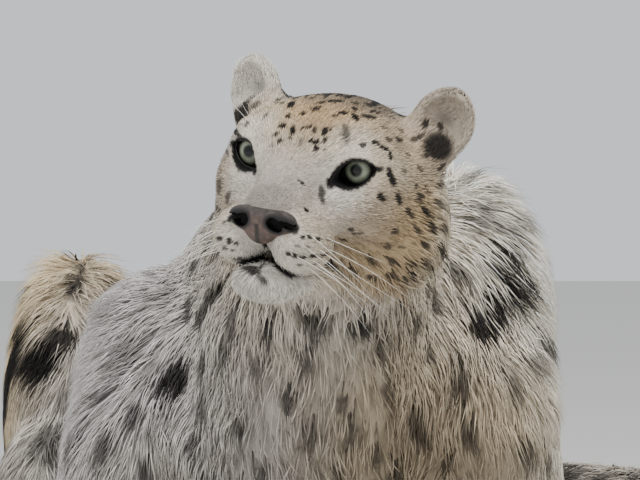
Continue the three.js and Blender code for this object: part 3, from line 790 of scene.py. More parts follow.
CROWN_SPOTS = [
    (343.3, 113, 8, 4.2, 10, 0.9), (335, 116.4, 7, 2.2, 25, 0.75), (355, 118, 9.5, 6.5, 100, 0.95),
    (354, 109.5, 5.5, 5, 0, 0.85), (355, 104, 6.5, 4, 0, 0.8), (373, 102.3, 7, 3.6, 110, 0.85),
    (367.3, 105.7, 6, 3.2, 105, 0.75), (362.4, 95.7, 5, 3, 20, 0.7), (300, 93, 11, 3, 12, 0.75),
    (322, 90, 11, 4.5, 10, 0.8), (316, 109.5, 10, 5, 35, 0.75), (327, 96, 9, 5, 20, 0.8),
    (336, 101.5, 16, 6, 8, 0.8), (345, 98, 9, 5, 10, 0.8), (354, 91.5, 13, 4.5, 5, 0.8),
    (380, 95, 11, 3.5, -8, 0.7), (342, 90, 10, 3, 8, 0.75), (312, 99, 8, 3, 20, 0.6),
    (308, 89, 8, 3, 10, 0.6), (330, 87, 9, 3, 5, 0.7), (255, 105, 12, 4, 30, 0.55),
    (246, 115, 9, 4, 40, 0.6), (247, 124, 7, 4, 60, 0.5), (233, 114, 9, 6, 60, 0.85),
    (227, 125, 10, 5, 70, 0.8), (279, 99, 10, 3, 30, 0.6), (266, 116, 8, 3.4, 60, 0.5),
]
print("spots of the brow:", len(FOREHEAD_SPOTS) + len(CROWN_SPOTS))

# %% Spots of the cheeks and lips
LEFT_SIDE_SPOTS = [
    (376.5, 143.8, 9, 4, -35, 0.95), (385, 148.6, 10, 4.2, -28, 0.95),
    (389.8, 155, 8.5, 4, -80, 0.9), (363.2, 145.5, 5.5, 4.5, 0, 0.7),
    (345.8, 134, 17, 7, 95, 0.5), (391.4, 177.8, 15, 6.5, -70, 0.95),
    (388.9, 169.5, 6, 4.5, -60, 0.8), (381.4, 197, 8.5, 6, -75, 0.9),
    (398, 198.5, 13.5, 6, -80, 0.9),
    (407, 210, 6.5, 6, 0, 0.9), (394.7, 231.7, 8, 5.5, 10, 0.7), (415.4, 186, 5.5, 4, -60, 0.7),
    (403, 170.3, 5, 3.4, -60, 0.5), (420.4, 197.7, 9, 6, -60, 0.75), (412, 216, 8, 4, -40, 0.6),
    (410.5, 276.5, 14, 10, 5, 0.95), (357.4, 233.4, 9, 3.5, 5, 0.6), (351.6, 229.2, 4.5, 4, 0, 0.6),
    (321.7, 194.4, 15, 5.5, 95, 0.65), (305.7, 209.6, 5.4, 3.8, -60, 0.95),
    (301.8, 182.8, 8, 2.2, -38, 0.9), (426, 212, 12, 6, -50, 0.8), (432, 228, 14, 6, -60, 0.8),
    (438, 250, 13, 7, -70, 0.8), (425, 245, 10, 5, -40, 0.7), (418, 230, 9, 5, -30, 0.65),
    (446, 236, 12, 5, -75, 0.6), (402, 247, 8, 3.4, -10, 0.5), (428, 190, 9, 4, -60, 0.6),
    (438, 205, 10, 5, -65, 0.6), (408, 155, 7, 3, -40, 0.5), (420, 168, 8, 3.6, -50, 0.55),
    (392, 118, 8, 3, -20, 0.5), (400, 130, 8, 3, -30, 0.45), (385, 128, 7, 3, -40, 0.4),
]
RIGHT_SIDE_SPOTS = [
    (219.8, 186, 14, 8, 80, 0.5), (228, 198, 13, 6, 60, 0.5), (218, 169.5, 10, 5, 70, 0.5),
    (240.5, 169.5, 7, 4, 30, 0.4), (214, 208, 9, 5, 80, 0.4), (223, 150, 8, 4, 70, 0.5),
    (222, 256, 16, 6, -12, 0.7), (240, 259, 12, 5, 0, 0.6), (252, 270, 17, 9, -20, 0.75),
    (262, 280, 11, 6, -40, 0.6), (238, 268, 8, 4, 0, 0.4),
]
WHISKER_ROW_SPOTS = [
    (302.7, 237.2, 4, 3.4, 0, 0.95), (309.8, 237, 4, 3.4, 0, 0.95), (317.6, 238.8, 5, 3, 0, 0.9),
    (331.7, 240.8, 15, 1.8, -5, 0.7), (344.1, 239.5, 5, 3.6, 0, 0.8), (288.6, 254, 5, 3.6, 0, 0.9),
    (295.2, 255.4, 5, 3.6, 0, 0.9), (302.7, 257.4, 6, 3.6, 0, 0.9), (312.6, 255.7, 8, 4, 5, 0.9),
    (324.2, 254.9, 10, 3, 8, 0.8), (219.8, 238.3, 6, 4.6, 0, 0.8), (228.9, 240.8, 6, 4.6, 90, 0.8),
    (236.3, 243.3, 4.4, 3.4, 0, 0.7), (224.7, 222.6, 4.4, 3.6, 0, 0.5), (308, 247, 4, 2.6, 0, 0.4),
    (297, 246, 4, 2.6, 0, 0.4), (233, 250, 4, 3, 0, 0.6), (225, 248, 4.6, 3, 0, 0.6),
    (300, 265, 6, 2.6, 0, 0.5), (315, 264, 8, 2.6, 5, 0.5),
]
print("spots of the cheeks:", len(LEFT_SIDE_SPOTS) + len(RIGHT_SIDE_SPOTS))

# %% Spots of the body, drawn small and grown together
BODY_SPOTS = [
    (516, 250, 13, 7, 80, 0.85), (510, 262, 14, 8, 60, 0.85), (499, 275, 12, 8, -10, 0.8),
    (519, 297, 18, 12, 60, 0.9), (508, 304, 12, 7, 10, 0.8), (496, 316, 14, 9, 60, 0.9),
    (487, 330, 17, 13, 80, 0.9), (478, 322, 9, 7, 0, 0.7), (533, 217, 9, 7, 0, 0.4),
    (538, 228, 9, 6, 0, 0.4), (484, 168, 15, 6, -5, 0.45), (494, 198, 9, 6, 60, 0.4),
    (484, 215, 13, 7, 60, 0.45), (481, 232, 10, 6, 80, 0.45), (548, 352, 14, 10, 0, 0.6),
    (535, 370, 14, 9, 0, 0.5), (24, 290, 22, 15, 80, 0.8), (72, 262, 24, 7, -50, 0.6),
    (75, 285, 18, 9, 80, 0.75), (97, 270, 16, 6, 80, 0.5), (24, 352, 26, 17, 80, 0.97),
    (40, 368, 22, 18, 30, 0.97), (15, 392, 26, 14, 70, 0.95), (62, 340, 18, 10, -20, 0.8),
    (12, 452, 30, 16, 80, 0.85), (60, 447, 24, 20, 0, 0.5), (190, 313, 15, 9, 60, 0.6),
    (206, 320, 13, 9, 60, 0.7), (218, 297, 13, 8, 20, 0.75), (170, 392, 16, 10, 20, 0.85),
    (180, 378, 15, 10, 20, 0.8), (125, 360, 22, 12, 60, 0.25), (150, 380, 20, 10, 60, 0.25),
    (110, 320, 20, 12, 60, 0.2), (160, 300, 20, 10, 40, 0.2), (75, 405, 16, 12, 0, 0.3),
]
PLACED_SPOTS = FOREHEAD_SPOTS + CROWN_SPOTS + LEFT_SIDE_SPOTS + RIGHT_SIDE_SPOTS
PLACED_SPOTS += WHISKER_ROW_SPOTS
BODY_GROWTH = 1.9
for x, y, length, width, *rest in BODY_SPOTS:
    PLACED_SPOTS.append((x, y, length * BODY_GROWTH, width * BODY_GROWTH, *rest))
print("spots to place:", len(PLACED_SPOTS))

# %% Casting the spots onto the skin
SPREAD = 1.3  # hair carries each mark a little past its edge
PASSING = range(4950, 5800, 25)  # mm from the camera at which a line can pass the animal
TOWARDS_CAMERA = 0.5
REACH = 1.5
skin_tree = BVHTree.FromObject(skin, bpy.context.evaluated_depsgraph_get())


def cast(pixels):
    """Where sight lines meet the skin, or pass it closest: places in mm and the normals there."""
    places = []
    normals = []
    for line in sight_lines(pixels):
        hit, normal, _, _ = skin_tree.ray_cast(Vector(to_metres(EYE_POINT)), Vector(line))
        if hit is None:
            steps = [to_metres(EYE_POINT + line * far) for far in PASSING]
            passing = [skin_tree.find_nearest(Vector(step)) for step in steps]
            hit, normal, _, _ = min(passing, key=lambda found: found[3])
        places.append(np.array(hit) * 1000 - SHIFT)
        normals.append(np.array(normal))
    return np.array(places), np.array(normals)


def mark(centre, along, across, strength, ring=False):
    """A flat ellipse on the skin. Its measure turns an offset into shares of its half axes."""
    shared = along @ across
    products = np.array([[along @ along, shared], [shared, across @ across]])
    measure = np.array([along, across]).T @ np.linalg.inv(products)
    reach = REACH * max(np.linalg.norm(along), np.linalg.norm(across))
    return dict(at=centre, measure=measure, reach=reach, dark=strength, ring=ring)


def on_plane(pixel, centre, normal):
    """Where a sight line meets the plane of a mark."""
    line = sight_lines([pixel])[0]
    return EYE_POINT + line * ((centre - EYE_POINT) @ normal) / (line @ normal)


MARKS = []
placed, placed_normals = cast([spot[:2] for spot in PLACED_SPOTS])
for spot, centre, normal in zip(PLACED_SPOTS, placed, placed_normals):
    x, y, length, width, angle, dark = spot
    facing = normal - TOWARDS_CAMERA * sight
    facing /= np.linalg.norm(facing)
    ahead = np.array([math.cos(math.radians(angle)), -math.sin(math.radians(angle))])
    aside = np.array([-ahead[1], ahead[0]])
    along = on_plane((x, y) + ahead * length / 2, centre, facing) - centre
    across = on_plane((x, y) + aside * width / 2, centre, facing) - centre
    MARKS.append(mark(centre, along * SPREAD, across * SPREAD, dark))
print("marks placed by sight:", len(MARKS), "of", len(PLACED_SPOTS))

# %% [markdown]
# ## The lie of the coat
# Hair runs from the nose back over the head, down the neck and ribs, and along the legs and tail.
# Combing curves by hand would be the other way. Here each mass says how hair lies over it, and a
# point takes a blend of the masses near it, so the lie turns smoothly from one to the next.

# %% Which way the coat lies, and how long it is
LIE_FADE = 9.0  # mm over which one mass gives way to the next


def coat_at(p):
    """Direction of the lie, hair length and coat depth at points on the skin."""
    q = to_head(p)
    total = np.zeros(len(p))
    lie = np.zeros((len(p), 3))
    hair = np.zeros(len(p))
    depth = np.zeros(len(p))
    sources = [(distance(m, q.astype(np.float32)), m["lie"], m, True) for m in UPPER_HEAD + JAW]
    sources += [(distance(m, p.astype(np.float32)), m["lie"], m, False) for m in BODY]
    for side in (LEFT, RIGHT):
        ear = dict(hair=EAR_HAIR, depth=EAR_COAT)
        sources.append((ear_distance(side, q) - 3, (side * 0.34, 0.12, 0.93), ear, True))
    for away, way, mass, of_head in sources:
        weight = np.exp(-np.abs(away) / LIE_FADE)
        way = np.array(way, float)
        way = HEAD_ROT @ way if of_head else way
        lie += weight[:, None] * way / np.linalg.norm(way)
        hair += weight * mass["hair"]
        depth += weight * mass["depth"]
        total += weight
    tail_away = tail_distance(p.astype(np.float32))
    weight = np.exp(-np.abs(tail_away) / LIE_FADE)
    ahead = np.gradient(TAIL_PATH, axis=0)[nearest_on_tail(p)]
    lie += weight[:, None] * ahead / np.linalg.norm(ahead, axis=1)[:, None]
    hair += weight * TAIL_HAIR
    depth += weight * TAIL_DEPTH
    total += weight
    return lie / total[:, None], hair / total, depth / total


print("hair on the crown, mm:", coat_at(from_head([[0, 44, 38]]))[1].round(1))

# %% [markdown]
# ## Marks on the hidden sides
# The far side, legs, neck and tail follow the rule of the species: streaks behind the ears, solid
# spots on the legs, rings on the flanks and large blots on the tail. They are scattered in random
# order with a least spacing, which looks natural. A regular grid would show.

# %% Scattering the marks
MOST_TRIED = 6000


def scatter(where, spacing):
    """Vertices of the skin at least a spacing apart and clear of marks already made."""
    order = rng.permutation(np.flatnonzero(where))[:MOST_TRIED]
    taken = [m["at"] for m in MARKS]
    gaps = [m["reach"] / 3 for m in MARKS]
    found = []
    taken_at = np.array(taken + [[0, 0, 0]] * len(order), float)
    taken_gap = np.array(gaps + [0] * len(order), float)
    count = len(taken)
    for index in order:
        away = np.linalg.norm(taken_at[:count] - skin_points[index], axis=1)
        if count and (away < np.maximum(spacing, taken_gap[:count] + spacing * 0.5)).any():
            continue
        taken_at[count] = skin_points[index]
        taken_gap[count] = spacing * 0.5
        count += 1
        found.append(index)
    return np.array(found, int)


def scattered_marks(where, spacing, length, width, dark, ring=False, turned=25):
    """Marks of about one size on part of the skin, turned a little from the lie of the hair."""
    chosen = scatter(where, spacing)
    lies, _, _ = coat_at(skin_points[chosen])
    for index, lie in zip(chosen, lies):
        normal = skin_normals[index]
        lie = lie - normal * (lie @ normal)
        lie /= np.linalg.norm(lie) + 1e-9
        aside = np.cross(normal, lie)
        angle = math.radians(rng.uniform(-turned, turned))
        ahead = lie * math.cos(angle) + aside * math.sin(angle)
        size = rng.uniform(0.75, 1.25)
        along = ahead * length * size / 2
        across = np.cross(normal, ahead) * width * size / 2
        strength = dark * rng.uniform(0.75, 1.0)
        MARKS.append(mark(skin_points[index], along, across, strength, ring))
    return len(chosen)


# %% Parts of the skin, and their marks
local_x, local_y, local_z = skin_head.T
world_x, world_y, world_z = skin_points.T
in_head = (np.abs(local_x) < 95) & (local_y < 82) & (np.abs(local_z) < 105)
tail_near = tail_distance(skin_points.astype(np.float32)) < 3
on_tail = tail_near & (world_y > 700) & ((world_x > 150) | (world_y > 940))
on_leg = (world_y < 70) | ((world_z < 95) & (world_y < 330) & (np.abs(world_x) > 75))
on_leg |= (world_z < 62) & (world_y > 480)
on_leg &= ~in_head & ~on_tail
on_neck = ~in_head & ~on_leg & (world_y < 200)
on_body = ~in_head & ~on_leg & ~on_tail & ~on_neck
on_ear = np.minimum(ear_distance(LEFT, skin_head), ear_distance(RIGHT, skin_head)) < 3
back_of_head = in_head & (local_y > 20) & (local_z > -70) & ~on_ear
print("head streaks:", scattered_marks(back_of_head, 11, 11, 5, 0.75))
print("legs:", scattered_marks(on_leg & (world_z > 8), 30, 21, 15, 0.8, turned=60))
print("neck:", scattered_marks(on_neck, 27, 24, 11, 0.6))
print("tail:", scattered_marks(on_tail, 52, 46, 40, 0.8, turned=60))
print("body:", scattered_marks(on_body, 58, 58, 46, 0.75, ring=True, turned=60))


# %% [markdown]
# ## Form of the nose pad
# The pad is a broad bar over a narrow foot. Each nostril is a round hole with a slit that curls
# outwards. Its form is needed before the coat is painted, because no fur grows on it and the skin
# in and round the nostrils is painted black, as the shade inside the holes. Its mesh follows with
# the eyes.

# %% Masses and nostrils of the nose pad
def shape(at, radii, melt=6):
    return ball(at, radii, melt, 0, 0, (0, 1, 0))


NOSE_MASSES = [
    shape((0, -54.5, -33.5), (19, 8.5, 5.6)),
    shape((0, -52, -39), (11.5, 8, 11)),
    shape((13.5, -52, -35), (8.5, 9, 6.5)),
    shape((-13.5, -52, -35), (8.5, 9, 6.5)),
]


def nostril_distance(side, p):
    wide = (p - [side * 11, -59, -36]) @ turn(side * 28, "Y")
    slit = (p - [side * 17, -55, -34.5]) @ turn(side * 24, "Y")
    hole = distance(shape((0, 0, 0), (5.6, 9, 4.0)), wide.astype(np.float32))
    tail = distance(shape((0, 0, 0), (7.4, 7, 2.3)), slit.astype(np.float32))
    return melted(hole, tail, 1.5)


print("masses of the nose:", len(NOSE_MASSES))

# %% [markdown]
# ## How dark each point is
# A spot's edge is ragged, because black hairs grow between pale ones. So the distance from the
# middle of a mark is roughened with noise before it is turned into a share of black. A rosette is
# a ring with a gap or two and a slightly darker middle.

# %% Darkness of the marks
RAGGED = 0.28
RING_RAGGED = 0.35
RING_AT = 0.72
RING_MIDDLE = 0.22


def darkness(p):
    """Share of black from 0 to 1 for points on the skin."""
    p = np.asarray(p, float)
    ragged = noise(p, 3.2) + 0.6 * noise(p, 1.5, 5.0) - 0.8
    coarse = noise(p, 11.0, 3.0) - 0.5
    order = np.argsort(p[:, 0])
    sorted_x = p[order, 0]
    dark = np.zeros(len(p))
    for m in MARKS:
        first, last = np.searchsorted(sorted_x, [m["at"][0] - m["reach"], m["at"][0] + m["reach"]])
        near = order[first:last]
        offset = p[near] - m["at"]
        close = (offset**2).sum(axis=1) < m["reach"] ** 2
        near = near[close]
        offset = offset[close]
        flat = offset @ m["measure"]
        size = np.linalg.norm(flat, axis=1) + RAGGED * ragged[near]
        if m["ring"]:
            size += RING_RAGGED * coarse[near]
            spokes = np.sin(np.arctan2(flat[:, 1], flat[:, 0]) * 3 + m["at"][1])
            band = 1 - smooth_step(0.14, 0.34, np.abs(size - RING_AT))
            shade = np.maximum(band * smooth_step(-0.9, 0.1, spokes), RING_MIDDLE * (size < 0.7))
        else:
            shade = 1 - smooth_step(0.72, 1.18, size)
        dark[near] = np.maximum(dark[near], shade * m["dark"])
    return dark


# %% [markdown]
# ## Lines of the face, ears and tail
# Black skin shows round the eyes, down the tear line and along the lips. The nostrils and the skin
# round them are painted black, as the shade inside the holes. The backs of the ears are black with
# a pale tip, the deep base of each ear's hollow is painted dark as the shade in it, and the tail
# has broken bands. Each is a distance to a form that is already there, so the lines follow it when
# it moves.

# %% Lines of the face
def rim_line(side, near):
    """Black round one eye, wider at its two corners."""
    shade = 1 - smooth_step(1.2, 2.6, opening_distance(side, near))
    local = eye_local(side, near)
    inner_x = local[:, 0] - ALMOND["inner"] + 0.5
    inner_z = (local[:, 2] - ALMOND["inner_z"] + 2) * 0.8
    shade = np.maximum(shade, 1 - smooth_step(1.4, 3.2, np.hypot(inner_x, inner_z)))
    outer_x = (local[:, 0] - ALMOND["outer"] - 1) * 0.7
    outer_z = local[:, 2] - ALMOND["outer_z"]
    shade = np.maximum(shade, 0.9 * (1 - smooth_step(1.2, 2.8, np.hypot(outer_x, outer_z))))
    return shade * (local[:, 1] < 3)


def face_lines(p):
    """Black of the lid rims, tear lines, lips and philtrum, and painted shade in and round the
    nostrils.
    """
    q = to_head(p).astype(np.float32)
    dark = np.zeros(len(q))
    front = q[:, 1] < 24
    near = q[front]
    crease = np.abs(field(UPPER_HEAD, near) - field(JAW, near))
    lips = (1 - smooth_step(1.6, 4.0, crease)) * smooth_step(20, 8, near[:, 1])
    lips = lips * (near[:, 2] < -45)
    philtrum = 1 - smooth_step(0.8, 2.2, np.abs(near[:, 0]))
    philtrum *= (near[:, 2] < -40) & (near[:, 2] > -66) & (near[:, 1] < -40)
    # The skin in and round the nostrils is painted black, as the shade seen inside the holes.
    hole = np.minimum(nostril_distance(LEFT, near), nostril_distance(RIGHT, near))
    nostrils = 1 - smooth_step(0.5, 2.5, hole)
    rims = [rim_line(side, near) for side in (LEFT, RIGHT)]
    dark[front] = np.maximum.reduce([*rims, nostrils, lips, philtrum])
    return dark


# %% Lines of the ears and tail
TAIL_BANDS = 15


def ear_lines(p):
    """Black backs of the ears, and painted shade in the deep base of their hollows."""
    q = to_head(p)
    dark = np.zeros(len(q))
    for side in (LEFT, RIGHT):
        local = (q - EAR_MIDDLE * [side, 1, 1]) @ ear_axes(side) * [side, 1, 1]
        # The deep base of each hollow is painted dark, as the shade that falls in it.
        low = np.hypot((local[:, 0] - 3) / 11, (local[:, 2] + 12) / 9)
        hollow = (1 - smooth_step(0.6, 1.1, low)) * (local[:, 1] < 6) * 0.85
        behind = smooth_step(2, 9, local[:, 1]) * smooth_step(16, 4, local[:, 2]) * 0.9
        behind *= smooth_step(-26, -10, local[:, 2]) * (np.abs(local[:, 0]) < 26)
        dark = np.maximum(dark, np.where(np.abs(local[:, 1]) < 22, np.maximum(hollow, behind), 0))
    return dark


def tail_lines(p):
    """Broken dark bands across the tail, clearer towards its tip."""
    share = TAIL_SHARE[nearest_on_tail(p)]
    wave = np.sin(share * 2 * math.pi * TAIL_BANDS + 3 * noise(p, 40, 2.0))
    band = smooth_step(0.35, 0.8, wave) * smooth_step(0.55, 0.8, share)
    return np.where(tail_distance(p.astype(np.float32)) < 6, band * 0.8, 0)


# %% [markdown]
# ## Painting the skin
# The colour of a point is its base colour, mottled a little, with the black laid over it. It is
# stored on the vertices, where the materials read it. The skin has so many of them that no
# texture is needed.

# %% Painting
FINE_MOTTLE = 0.10
BROAD_MOTTLE = 0.12
SKIN_SHADE = 0.97


def pelt(p):
    """Colour of the coat at points in the tables' mm, as a painter writes it (sRGB)."""
    colour = base_colour(p)
    mottle = FINE_MOTTLE * (noise(p, 9, 1.0) - 0.5) + BROAD_MOTTLE * (noise(p, 34, 4.0) - 0.5)
    colour = colour * (1 + mottle)[:, None]
    dark = np.maximum.reduce([darkness(p), face_lines(p), ear_lines(p), tail_lines(p)])
    return colour + (BLACK_FUR - colour) * np.clip(dark, 0, 1)[:, None]


def paint(piece, colours):
    """Store sRGB colours of the vertices as the attribute that the materials read."""
    layer = piece.data.attributes.new("pelt", "FLOAT_COLOR", "POINT")
    rgba = np.ones((len(colours), 4), np.float32)
    rgba[:, :3] = to_linear(colours)
    layer.data.foreach_set("color", rgba.ravel())


skin_colours = pelt(skin_points)
paint(skin, skin_colours * SKIN_SHADE)
print("mean colour of the skin:", skin_colours.mean(axis=0).round(2))

# %% [markdown]
# ## Eyes
# A cat's eye is a ball of 27 mm whose cornea stands out as a dome over a round pupil. The ball is
# a sphere with its front drawn out to the dome, painted with the iris and covered by a clear
# coat, which catches the light as the wet cornea does. A glass dome over a sunken iris would be
# the other way, but the coated dome keeps the iris bright and bakes well. A wet black rim, a
# bevelled curve, runs round the lids.

# %% Colours of the eye
IRIS_RADIUS = 8.9
DOME_RADIUS = 11.7
PUPIL_RADIUS = 3.3
CORNEA_HEIGHT = 14.2
WHITE_OF_EYE = 14
GAZE_YAW = 5.0
GAZE_PITCH = 1.0
RIM_POINTS = 18
RIM_INSET = 1.3
RIM_THICKNESS = 0.0009


def gaze_axes(side):
    """Columns: right, up and forward of the eye, in the head's axes."""
    forward_is_front = np.array([[1, 0, 0], [0, 0, -1], [0, 1, 0]])
    return turn(side * GAZE_YAW, "Z") @ turn(GAZE_PITCH, "X") @ forward_is_front


def iris_colour(radius, angle):
    """Colour of the eyeball at a distance from its middle, with fine streaks in the iris."""
    streaks = 0.06 * np.sin(angle * 23) + 0.05 * np.sin(angle * 41 + 1) + 0.04 * np.sin(angle * 67)
    shades = [
        (0, "#0A0B0B"), (PUPIL_RADIUS - 0.25, "#0A0B0B"), (PUPIL_RADIUS + 0.4, "#444A41"),
        (4.8, "#7F8472"), (6.6, "#757A69"), (7.9, "#4A4E43"), (IRIS_RADIUS, "#161613"),
        (IRIS_RADIUS + 0.8, "#1C1917"), (IRIS_RADIUS + 2.6, "#5C5653"), (WHITE_OF_EYE, "#6A6462"),
    ]
    stops = [stop for stop, _ in shades]
    values = np.array([srgb(colour) for _, colour in shades])
    found = np.stack([np.interp(radius, stops, values[:, i]) for i in range(3)], axis=-1)
    in_iris = (radius > PUPIL_RADIUS) & (radius < IRIS_RADIUS)
    return found * (1 + np.where(in_iris, streaks, 0))[:, None]


print("iris, mm across:", 2 * IRIS_RADIUS)


# %% Eyeballs and lid rims
def make_eyeball(side, word):
    bpy.ops.mesh.primitive_uv_sphere_add(segments=72, ring_count=90, radius=EYE_RADIUS)
    eyeball = bpy.context.object
    eyeball.name = "eyeball_" + word
    points = read_vertices(eyeball.data, "co")
    radius = np.hypot(points[:, 0], points[:, 1])
    front = points[:, 2] > 0
    dome = CORNEA_HEIGHT - DOME_RADIUS + np.sqrt(np.maximum(DOME_RADIUS**2 - radius**2, 0))
    points[front, 2] = np.maximum(points[front, 2], dome[front])
    angle = np.arctan2(points[:, 1], points[:, 0])
    paint(eyeball, iris_colour(np.where(front, radius, WHITE_OF_EYE), angle))
    in_head = EYE_CENTRE * [side, 1, 1] + points @ gaze_axes(side).T
    places = to_metres(from_head(in_head)).astype(np.float32)
    eyeball.data.vertices.foreach_set("co", places.ravel())
    eyeball.data.update()
    eyeball.data.materials.append(eyeball_paint)
    eyeball.data.shade_smooth()
    return eyeball


def make_lid_rim(side, word):
    across = np.linspace(ALMOND["inner"], ALMOND["outer"], RIM_POINTS)
    top, bottom = almond_edges(across)
    upper = np.stack([across, top], 1)
    lower = np.stack([across, bottom], 1)[-2:0:-1]
    outline = np.concatenate([upper, lower])
    bulge = np.sqrt(np.maximum((LID_RADIUS - RIM_INSET) ** 2 - (outline**2).sum(axis=1), 4))
    points = np.stack([outline[:, 0], -bulge, outline[:, 1]], axis=1) * [side, 1, 1]
    points = to_metres(from_head(EYE_CENTRE * [side, 1, 1] + points @ eye_axes(side).T))
    curve = bpy.data.curves.new("rim", "CURVE")
    curve.dimensions = "3D"
    curve.bevel_depth = RIM_THICKNESS
    curve.bevel_resolution = 3
    spline = curve.splines.new("POLY")
    spline.points.add(len(points) - 1)
    spline.points.foreach_set("co", np.column_stack([points, np.ones(len(points))]).ravel())
    spline.use_cyclic_u = True
    rim = bpy.data.objects.new("lid_rim_" + word, curve)
    bpy.context.scene.collection.objects.link(rim)
    select_only(rim)
    bpy.ops.object.convert(target="MESH")
    rim.data.materials.append(lid_rim)
    rim.data.shade_smooth()
    return rim


for side, word in ((LEFT, "left"), (RIGHT, "right")):
    eyeball = make_eyeball(side, word)
    rim = make_lid_rim(side, word)
    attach(eyeball, "root")
    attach(rim, "root")
    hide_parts("eye_" + word)
print("eyeballs and lid rims: 4, cornea height, mm:", CORNEA_HEIGHT)

# %% [markdown]
# ## Nose
# The nose pad is bare leather with two comma-shaped nostrils and a groove down the middle. A
# sculpted sphere with two booleans would be the other way. It is one more small field with a fine
# grid, because the nostrils have to be hollow and their rims round.

# %% Nose pad
NOSE_STEP = 0.8
NOSE_BOX = ((-28, -72, -56), (28, -40, -20))
LEATHER_LOW = srgb("#54433D")
LEATHER_TOP = srgb("#3C3633")
# Painted shade inside the nostrils.
NOSTRIL_SHADOW = srgb("#080606")


def nose_field(p):
    p = np.asarray(p, np.float32)
    whole = field(NOSE_MASSES, p)
    for side in (LEFT, RIGHT):
        whole = np.maximum(whole, -nostril_distance(side, p))
    groove = np.hypot(p[:, 0], (p[:, 1] + 62.5) * 0.6) - 1.0
    return np.maximum(whole, -np.where(p[:, 2] < -38, groove, 9))


nose_points, nose_faces = surface(nose_field, *NOSE_BOX, NOSE_STEP)
nose_places = to_metres(from_head(nose_points))
nose = new_object("nose_pad", nose_places, nose_faces.tolist(), nose_leather)
print("nose faces:", len(nose_faces))

# %% Colour of the nose pad
# Within 3 mm of each nostril the leather darkens to black, as painted shade inside the holes.
near_hole = np.minimum(nostril_distance(LEFT, nose_points), nostril_distance(RIGHT, nose_points))
hole_shade = smooth_step(0.3, 3.0, near_hole)[:, None]
top_shade = smooth_step(-37, -28, nose_points[:, 2])[:, None]
leather = LEATHER_LOW * (1 - top_shade) + LEATHER_TOP * top_shade
leather = leather * (0.75 + 0.5 * noise(nose_points, 2.2))[:, None]
# The groove down the middle of the pad is painted darker, as the shade in that crease.
groove_shade = smooth_step(0.6, 2.2, np.abs(nose_points[:, 0]))[:, None]
leather = leather * (0.45 + 0.55 * np.where(nose_points[:, 2:] < -37, groove_shade, 1))
paint(nose, leather * hole_shade + NOSTRIL_SHADOW * (1 - hole_shade))
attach(nose, "root")
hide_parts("nose")
print("mean colour of the leather:", leather.mean(axis=0).round(2))

# %% [markdown]
# ## Whiskers
# Stiff white hairs up to 7 cm long grow from the dark rows on each pad, with a few above the
# eyes. Each is a thin tapered tube that bends under its own weight. A bevelled curve would give
# the tube too, but its taper needs a second curve, and the tube is only twelve rings.

# %% Whisker shape
WHISKER_ROOTS = [
    (28, -46, -41), (34, -34, -42), (27, -49, -47), (32, -41, -48), (36, -32, -48), (25, -51, -53),
    (31, -43, -54), (36, -34, -54), (30, -42, -60), (34, -34, -60),
]
BROW_ROOTS = [(30, -8, 20), (36, -4, 20), (41, 2, 18)]
STATIONS = 12
SIDES = 6
TIP_TAPER = 0.85
ROOT_SUNK = 1.5


def hair_tube(start, way, length, thick, sag, curl):
    """Points and faces of one tapered, bending hair, in the head's axes."""
    way = way / np.linalg.norm(way)
    aside = np.cross(way, [0, 0, 1])
    aside /= np.linalg.norm(aside)
    share = np.linspace(0, 1, STATIONS)[:, None]
    path = start + way * length * share + (curl + np.array([0, 0, -sag])) * share**2 * length
    over = np.cross(aside, way)
    around = np.linspace(0, 2 * math.pi, SIDES, endpoint=False)
    rings = np.cos(around)[:, None] * aside + np.sin(around)[:, None] * over
    radii = (thick * (1 - TIP_TAPER * share))[:, None]
    points = (path[:, None] + rings[None] * radii).reshape(-1, 3)
    faces = []
    for ring in range(STATIONS - 1):
        for i in range(SIDES):
            a = ring * SIDES + i
            b = ring * SIDES + (i + 1) % SIDES
            faces.append((a, a + SIDES, b + SIDES, b))
    faces.append(tuple(range(SIDES)))
    faces.append(tuple(range(STATIONS * SIDES - 1, (STATIONS - 1) * SIDES - 1, -1)))
    return points, faces


print("roots of whiskers and brow hairs:", 2 * (len(WHISKER_ROOTS) + len(BROW_ROOTS)))


# %% Growing the whiskers
def whisker_way(side):
    return np.array([side * 0.8, 0.15, -0.35])


def brow_way(side):
    return np.array([side * 0.6, -0.3, 0.6])


def grow_hairs(name, roots, make_way, lengths, thick):
    """One piece of hairs that start at roots on both sides of the head."""
    points = []
    faces = []
    for side in (LEFT, RIGHT):
        for root in roots:
            start = np.array(root, float) * [side, 1, 1]
            world = Vector(to_metres(from_head([start]))[0])
            hit, _, _, _ = skin_tree.find_nearest(world)
            start = to_head(np.array([hit]) * 1000 - SHIFT)[0]
            way = make_way(side) + rng.normal(0, 0.1, 3)
            curl = np.array([side * -0.05, 0.18, 0]) + rng.normal(0, 0.05, 3)
            length = rng.uniform(*lengths)
            sag = rng.uniform(0.05, 0.22)
            tube, tube_faces = hair_tube(start - way * ROOT_SUNK, way, length, thick, sag, curl)
            first = len(points) * STATIONS * SIDES
            faces += [tuple(i + first for i in face) for face in tube_faces]
            points.append(tube)
    places = to_metres(from_head(np.vstack(points)))
    hairs = new_object(name, places, faces, whisker_hair)
    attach(hairs, "root")
    return len(points)


print("whiskers:", grow_hairs("whiskers", WHISKER_ROOTS, whisker_way, (28, 66), 0.2))
print("brow hairs:", grow_hairs("brow_hairs", BROW_ROOTS, brow_way, (16, 30), 0.18))

# %% [markdown]
# ## The coat
# The coat is made of flat, tapered tufts that overlap like thatch. Each has a root on the skin,
# lies along the coat's direction there and carries the colour of its root. Neighbours lean
# together into small locks, as long fur does. Hair curves would be quicker to comb, but a solid
# mesh can be exported and handled like every other piece.
# The skin is unwrapped first, and each tuft gets a small patch of that unwrap at its root.

